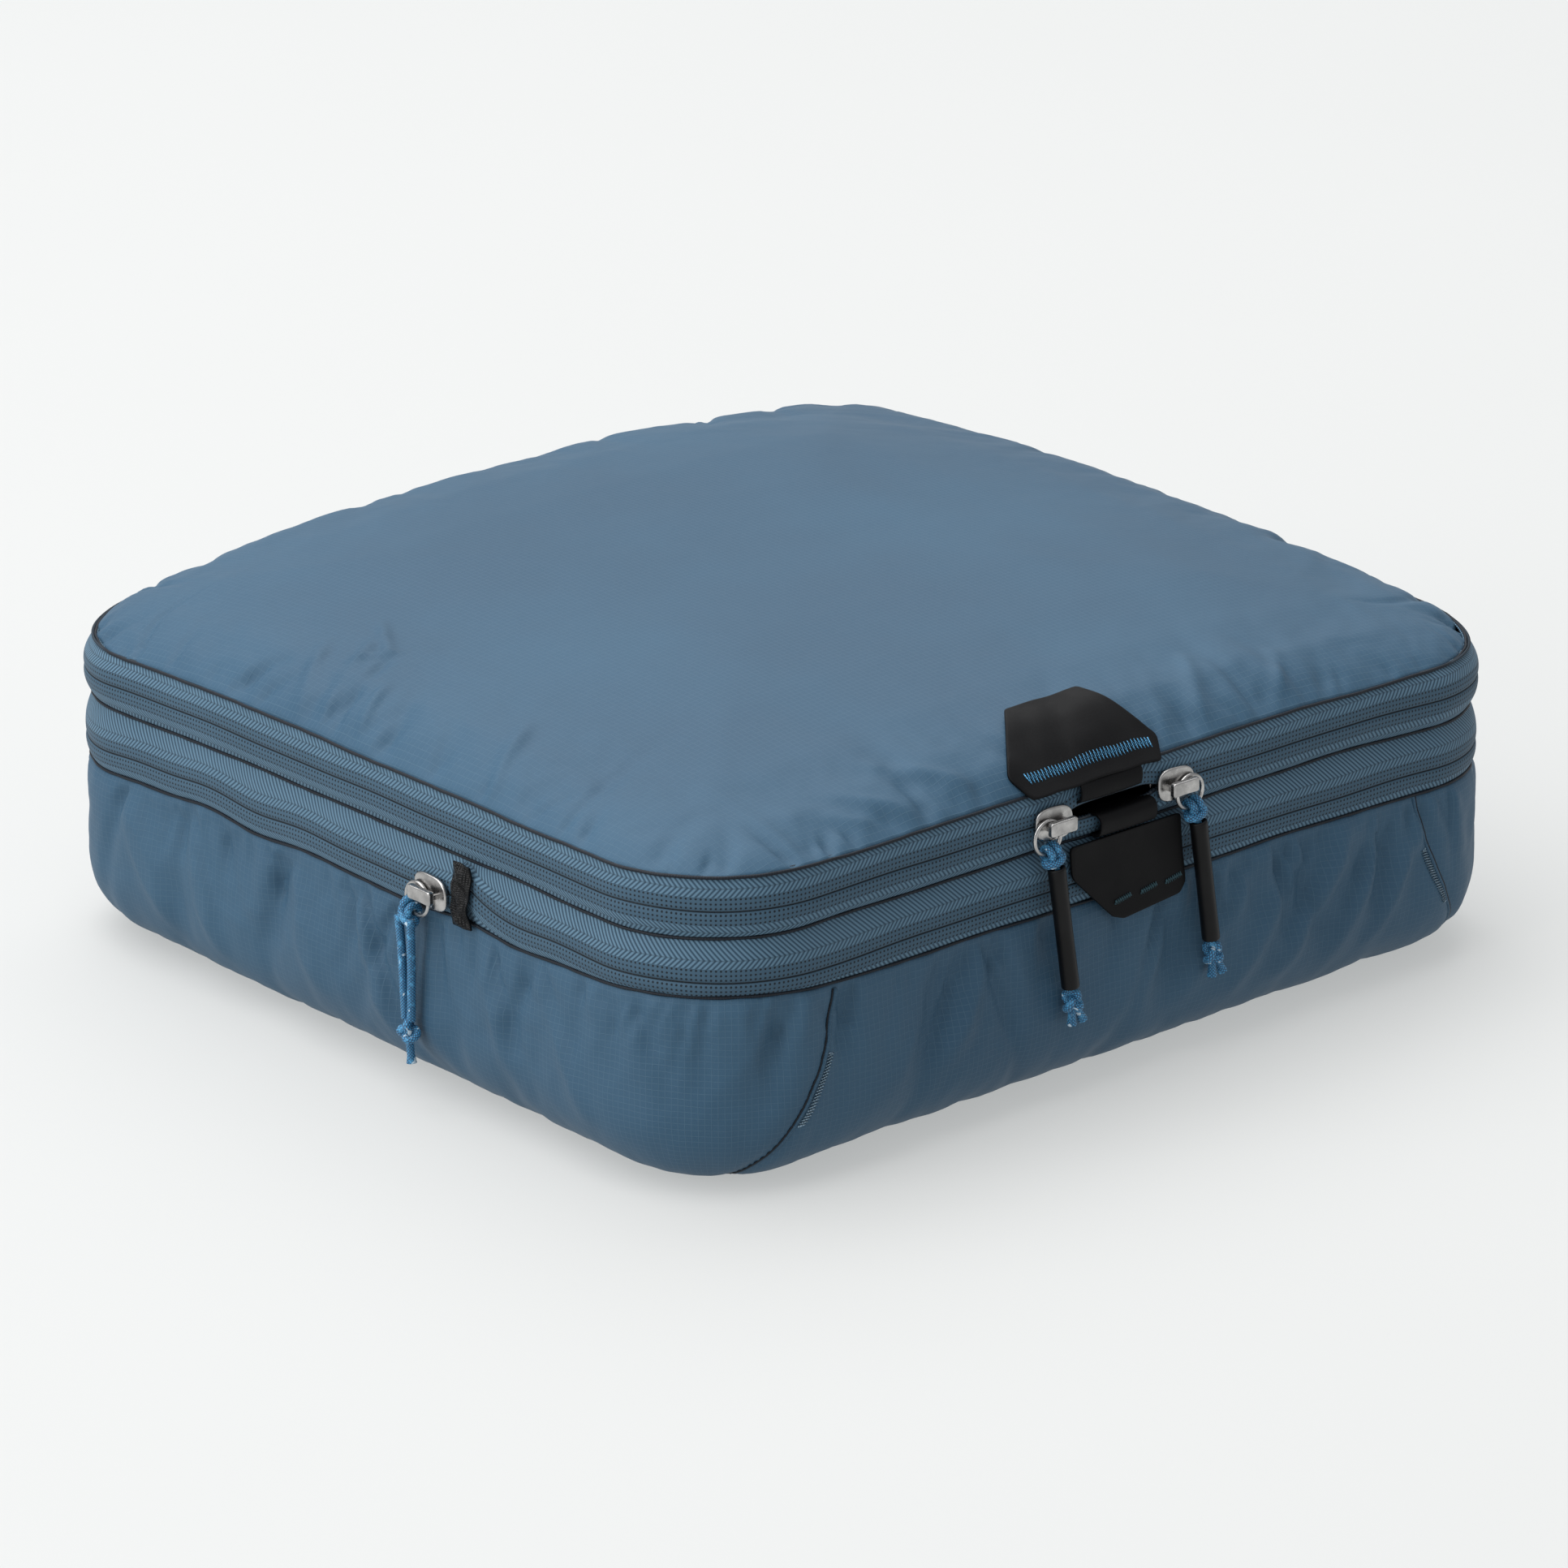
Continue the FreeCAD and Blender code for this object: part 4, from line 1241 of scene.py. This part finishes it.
def make_corner_seams():
    """The stitched seam at each front corner, and the row of bartacks beside it."""
    for side, name in ((-1, "left"), (1, "right")):
        line, normals = seam_line(side, 90)
        seam = [on_wall(p, n, 0.05 * MM) for p, n in zip(line, normals)]
        welt = [on_wall(p, n, 0.15 * MM) + Vector((side * -1.0 * MM, 0, 0)) for p, n in zip(line, normals)]
        # the corner seam's near-black tube is the thread, and also painted shade in the seam's groove
        piece = join_meshes("corner_seam_" + name, [tube_part(even_path(seam, 1.5 * MM), 0.42 * MM, 6)])
        finish_piece(piece, "lower_shell", "bartack_thread", material="seam_thread_and_shade")
        edge = join_meshes("corner_welt_" + name, [tube_part(even_path(welt, 1.5 * MM), 0.75 * MM, 8)])
        finish_piece(edge, "lower_shell", "ripstop")
        low, high = 23 * MM, 45 * MM
        count = 46
        path = []
        for k in range(count + 1):
            z = high + (low - high) * k / count
            s, _ = seam_curve(side, np.array([z]))
            shift = (4.4 if k % 2 else 2.2) * MM
            x, y, nx, ny = plan(s + shift * (1 if side < 0 else -1))
            path.append(on_wall((x[0], y[0], z), (nx[0], ny[0], 0), 0.2 * MM))
        tack = join_meshes("bartack_" + name, [tube_part(path, 0.36 * MM, 6)])
        finish_piece(tack, "lower_shell", "bartack_thread", "corner_bartacks")


make_corner_seams()


# ---------------------------------------------------------------- tabs
def rounded_outline(corners, radii, steps=7):
    """Closed outline through corners, each rounded by its radius, in the corners' units."""
    result = []
    count = len(corners)
    for i in range(count):
        before, here, after = (np.array(corners[(i + k) % count], float) for k in (-1, 0, 1))
        way_in = (before - here) / np.linalg.norm(before - here)
        way_out = (after - here) / np.linalg.norm(after - here)
        half = math.acos(np.clip(way_in @ way_out, -1, 1)) / 2
        reach = radii[i] / math.tan(half)
        a, b = here + way_in * reach, here + way_out * reach
        for k in range(steps + 1):
            t = k / steps
            result.append(a * (1 - t) ** 2 + here * 2 * t * (1 - t) + b * t ** 2)
    return result


def even_outline(outline, count):
    """The same closed outline with count evenly spaced points."""
    ring = np.array(outline + [outline[0]])
    lengths = np.concatenate([[0], np.cumsum(np.linalg.norm(np.diff(ring, axis=0), axis=1))])
    targets = np.linspace(0, lengths[-1], count, endpoint=False)
    return np.stack([np.interp(targets, lengths, ring[:, k]) for k in range(2)], 1)


def filled_outline(outline, rings):
    """Points and faces of a sheet inside an outline, as rings round its middle."""
    ring = np.array(outline)
    centre = ring.mean(0)
    count = len(ring)
    points = [centre + (p - centre) * k / rings for k in range(1, rings + 1) for p in ring] + [centre]
    faces = grid_faces(rings, count, wrap_columns=True)
    faces = [tuple(reversed(f)) for f in faces]
    faces += [(rings * count, k, (k + 1) % count) for k in range(count)]
    return np.array(points), faces


def soft_edge(obj, width=0.25 * MM):
    modifier = obj.modifiers.new("edge", "BEVEL")
    modifier.width = width
    modifier.segments = 2
    modifier.limit_method = "ANGLE"
    modifier.angle_limit = math.radians(50)


def lid_height(x, y):
    """Height of the lid's outer face, continued flat in front of the seam."""
    back = max(y, -HALF_Y + 3.5 * MM)
    hit = LID_SURFACE.ray_cast(Vector((x, back, 0.2)), Vector((0, 0, -1)))[0]
    height = hit.z if hit else LID_SEAM_Z
    return height - max(0, back - y) * 0.75


def tab_height(x, y):
    """The stiff upper tab bridges the puckers under it and stands a little off the lid at its rear."""
    spots = [lid_height(x + dx * MM, y + dy * MM) for dx in (-3, 0, 3) for dy in (-2, 0, 2)]
    return sum(spots) / len(spots) + 0.75 * MM + 0.05 * max(0, y + HALF_Y - 8 * MM)


def make_upper_tab():
    """Six-sided flap sewn to the lid, with the strap that rolls over the upper tape into the opening."""
    corners = [(-28, -1.2), (-32.5, 6), (-12, 30), (19.5, 30), (32.5, 6), (28, -1.2)]
    outline = even_outline(rounded_outline(corners, [1.6, 2.4, 1.6, 1.6, 2.8, 1.6]), 150)
    flat, faces = filled_outline(outline, 22)
    points = []
    for x, back in flat * MM:
        here = (UPPER_TAB_X + x, -HALF_Y + back)
        points.append((*here, tab_height(*here)))
    flap = mesh_object("upper_tab_flap", points, faces, flat * MM)
    thicken(flap, 1.0 * MM, 0)
    soft_edge(flap)
    finish_piece(flap, "lid", "tab_black", "upper_tab")
    strap = ((3.5, LID_SEAM_Z / MM + 1.6), (0.6, 108.9), (-1.3, 107.2), (-1.9, 104.8), (-1.3, 102.6),
             (1.2, 101.5), (5.0, 101.2), (9.0, 101.8))
    strip_piece("upper_tab_strap", "lid", strap, UPPER_STRAP_X, UPPER_STRAP_HALF, -1.2 * MM, 0.35 * MM)
    path = []
    count = 72
    length = 54 * MM
    for k in range(count + 1):
        x = UPPER_TAB_X + 1.2 * MM - length / 2 + length * k / count
        y = -HALF_Y + (2.8 if k % 2 else 5.8) * MM
        path.append(Vector((x, y, tab_height(x, y) + 0.62 * MM)))
    row = join_meshes("upper_tab_zigzag", [tube_part(path, 0.27 * MM, 7)])
    finish_piece(row, "lid", "blue_thread", "upper_tab_stitching")


def strip_piece(name, body, profile, centre_x, half, skew, sag, *nodes):
    """Strap swept across the front from a profile of (set back, height) in mm."""
    profile = smooth_path([Vector((0, *p)) for p in profile], 6)
    across = np.linspace(-1, 1, 25)
    points, uvs = [], []
    run = 0.0
    for i, place in enumerate(profile):
        if i:
            run += (place - profile[i - 1]).length * MM
        share = i / (len(profile) - 1)
        for t in across:
            narrow = half * (1 - 0.02 * math.sin(math.pi * share))
            droop = -sag * (1 - t ** 2) * math.sin(math.pi * share)
            x = centre_x + narrow * t + skew * (share - 0.5)
            points.append((x, -HALF_Y + place.y * MM, place.z * MM + droop))
            uvs.append((t * half, run))
    strap = mesh_object(name, points, grid_faces(len(profile), len(across)), uvs)
    thicken(strap, 0.9 * MM, 0)
    soft_edge(strap)
    return finish_piece(strap, body, "tab_black", *nodes)


def make_lower_tab():
    """Strap rolled over the lower tape, the flap that hangs from under it, and its three stitches."""
    roll = ((8.0, 94.3), (4.0, 95.0), (1.0, 95.6), (-1.2, 95.4), (-2.5, 93.9), (-2.6, 91.6), (-1.8, 89.3),
            (0.2, 88.2), (3.0, 88.0))
    strip_piece("lower_tab_roll", "zip_ring", roll, LOWER_TAB_X, LOWER_STRAP_HALF, 0.8 * MM, 0.3 * MM,
                "lower_tab_strap")
    corners = [(-24, 87.4), (24.5, 87.4), (25.5, 64.0), (22.5, 60.8), (-2.5, 58.6), (-7, 60.2), (-23.6, 77)]
    outline = even_outline(rounded_outline(corners, [1.5, 1.5, 3.5, 2.5, 3.5, 3.5, 6]), 130)
    flat, faces = filled_outline(outline, 14)

    def out(z):
        fall = (87.4 - z) / 28
        return 0.9 + 2.6 * fall ** 1.6

    points = [(LOWER_TAB_X + x * MM, -HALF_Y - out(z) * MM, z * MM) for x, z in flat]
    flap = mesh_object("lower_flap", points, faces, flat * MM)
    thicken(flap, 1.0 * MM, 0)
    soft_edge(flap)
    finish_piece(flap, "tab_flap", "tab_black", "lower_tab_flap")
    parts = []
    for centre in (-2.5, 9.0, 20.0):
        path = []
        for k in range(17):
            x = centre - 3.5 + 7.0 * k / 16
            z = 65.5 + 0.055 * centre + (x - centre) * 0.16 + (0.62 if k % 2 else -0.62)
            path.append(Vector((LOWER_TAB_X + x * MM, -HALF_Y - (out(z) + 0.62) * MM, z * MM)))
        parts.append(tube_part(path, 0.36 * MM, 6))
    finish_piece(join_meshes("lower_flap_stitches", parts), "tab_flap", "teal_thread", "lower_tab_stitches")


make_upper_tab()
make_lower_tab()


# ---------------------------------------------------------------- zip hardware
def pebble(outline, depth_near, depth_far, edge, place, rings=9, crown=0.0):
    """Flat lump with rounded rims, between two depths, from a plan outline in mm that place() sets down."""
    ring = even_outline(outline, 64)
    centre = ring.mean(0)
    reach = np.linalg.norm(ring - centre, axis=1, keepdims=True)
    way = (ring - centre) / reach
    points = []
    levels = []
    rim = math.copysign(edge, depth_near - depth_far)
    for depth, step, flip in ((depth_near, -rim, False), (depth_far, rim, True)):
        for k in range(rings):
            t = k / (rings - 1)
            a = math.pi / 2 * (1 - t if flip else t)
            levels.append((edge * (1 - math.sin(a)), depth + step * (1 - math.cos(a))))
    for inward, depth in levels:
        for p, w in zip(ring, way):
            q = p - w * inward
            points.append((q[0], depth, q[1]))
    count = len(ring)
    faces = grid_faces(len(levels), count, wrap_columns=True)
    for base, depth in ((0, levels[0][1]), ((len(levels) - 1) * count, levels[-1][1])):
        inner_start = len(points)
        bulge = crown if base else 0
        for share in (0.66, 0.33):
            for p, w in zip(ring, way):
                q = centre + (p - w * levels[0][0] - centre) * share
                points.append((q[0], depth + bulge * (1 - share ** 2), q[1]))
        points.append((centre[0], depth + bulge, centre[1]))
        loops = [[base + k for k in range(count)], [inner_start + k for k in range(count)],
                 [inner_start + count + k for k in range(count)]]
        for a, b in zip(loops, loops[1:]):
            faces += [(a[k], a[(k + 1) % count], b[(k + 1) % count], b[k]) for k in range(count)]
        faces += [(loops[-1][k], loops[-1][(k + 1) % count], len(points) - 1) for k in range(count)]
    placed = [place(Vector(p) * MM) for p in points]
    return placed, faces, [(p[0] * MM, p[2] * MM) for p in points]


def slider_outline(length, height, tilt):
    """Slider plate: a rounded lozenge whose lobes lie at its upper left and lower right."""
    result = []
    for k in range(72):
        a = 2 * math.pi * k / 72
        c, s = math.cos(a), math.sin(a)
        x = length / 2 * math.copysign(abs(c) ** 0.62, c)
        z = height / 2 * math.copysign(abs(s) ** 0.72, s)
        result.append((x, z - tilt * x * (1 - abs(z) / height)))
    return result


def bar_outline(length, height, radius):
    x, z = length / 2, height / 2
    return rounded_outline([(-x, -z), (x, -z), (x, z), (-x, z)], [radius] * 4, 6)


def slider_piece(name, place):
    """Cast slider: two plates joined by a post, and the bridge that holds the ring."""
    parts = [pebble(slider_outline(16, 11.4, 0.10), -0.45, -1.9, 0.7, place, crown=-0.35),
             pebble(slider_outline(15, 10.4, 0.10), 2.85, 3.55, 0.3, place),
             pebble([(4 + x, z) for x, z in bar_outline(4, 0.5, 0.2)], 3.0, -0.6, 0.1, place),
             pebble(bar_outline(11.4, 4.7, 0.9), -4.4, -6.6, 0.6, place, crown=-0.12)]
    for sign in (-1, 1):
        foot = [(sign * 4.5 + x, z) for x, z in bar_outline(1.5, 1.9, 0.5)]
        parts.append(pebble(foot, -1.4, -5.2, 0.15, place))
    piece = join_meshes(name + "_cast", parts)
    finish_piece(piece, name, "nickel", name + "_body")


def front_place(x):
    return lambda v: Vector((x + v.x, -HALF_Y + v.y, UPPER_CHAIN_Z + v.z))


def left_place(y):
    return lambda v: Vector((-HALF_X + v.y, y - v.x, LOWER_CHAIN_Z + v.z))


slider_piece("main_left_slider", front_place((LEFT_SLIDER[0].x + LEFT_SLIDER[1].x) / 2))
slider_piece("main_right_slider", front_place((RIGHT_SLIDER[0].x + RIGHT_SLIDER[1].x) / 2))
COMPRESSION_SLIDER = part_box("compression_slider_body")
slider_piece("compression_slider", left_place((COMPRESSION_SLIDER[0].y + COMPRESSION_SLIDER[1].y) / 2))
dress_nodes("nickel", "main_left_ring", "main_right_ring", "compression_ring")


def make_garage():
    """Folded woven tape over the closed end of the compression zip."""
    low, high = WALL_TOP_Z, CREASE_Z - 0.3 * MM
    points, uvs = [], []
    rows, columns = 40, 17
    for i in range(rows):
        t = i / (rows - 1)
        for j in range(columns):
            a = 2 * j / (columns - 1) - 1
            z = low + (high - low) * t
            crumple = 0.6 * math.sin(9 * t + 2.0 * a) + 0.5 * math.sin(17 * t - 3 * a)
            swell = 1.7 * math.sin(math.pi * t) ** 0.6 + crumple
            out = 0.5 + swell * (1 - 0.55 * a * a)
            points.append((-HALF_X - out * MM, GARAGE_Y + a * 4.3 * MM + 0.8 * MM * math.sin(6 * t), z))
            uvs.append((a * 4.3 * MM, t * 22 * MM))
    tab = mesh_object("zip_end_tab", points, grid_faces(rows, columns), uvs)
    thicken(tab, 0.8 * MM, 0)
    soft_edge(tab)
    finish_piece(tab, "zip_ring", "garage_webbing", "compression_zip_garage")


make_garage()


# ---------------------------------------------------------------- stage
LAMPS = (("key", (-1.2, 0.6, 3.0), 3.6, 112),
         ("side", (-2.6, 0.3, 0.9), 1.6, 30),
         ("back", (1.0, 1.4, 2.8), 3.0, 57))


def make_stage():
    look = Look("floor", Roughness=0.9, Emission_Color=(0.98, 1.0, 0.99, 1), Emission_Strength=0.43)
    tone = look.noise(3.0, 2.0)
    look.colour(look.mix(tone, rgb(0.260, 0.262, 0.260), rgb(0.268, 0.270, 0.268)))
    floor = mesh_object("floor", [(-6, -6, 0), (6, -6, 0), (6, 6, 0), (-6, 6, 0)], [(0, 1, 2, 3)])
    floor.data.materials.append(look.material)
    world = bpy.data.worlds.new("studio")
    bpy.context.scene.world = world
    world.use_nodes = True
    background = world.node_tree.nodes["Background"]
    background.inputs[0].default_value = (0.97, 0.98, 1.0, 1)
    background.inputs[1].default_value = 0.55
    for name, where, size, power in LAMPS:
        data = bpy.data.lights.new(name, "AREA")
        data.size = size
        data.energy = power
        light = add_object(name, data)
        light.location = where
        light.rotation_mode = "QUATERNION"
        light.rotation_quaternion = (Vector((0, 0, 0.05)) - Vector(where)).to_track_quat("-Z", "Y")
    bpy.context.scene.view_settings.view_transform = "Standard"


make_stage()
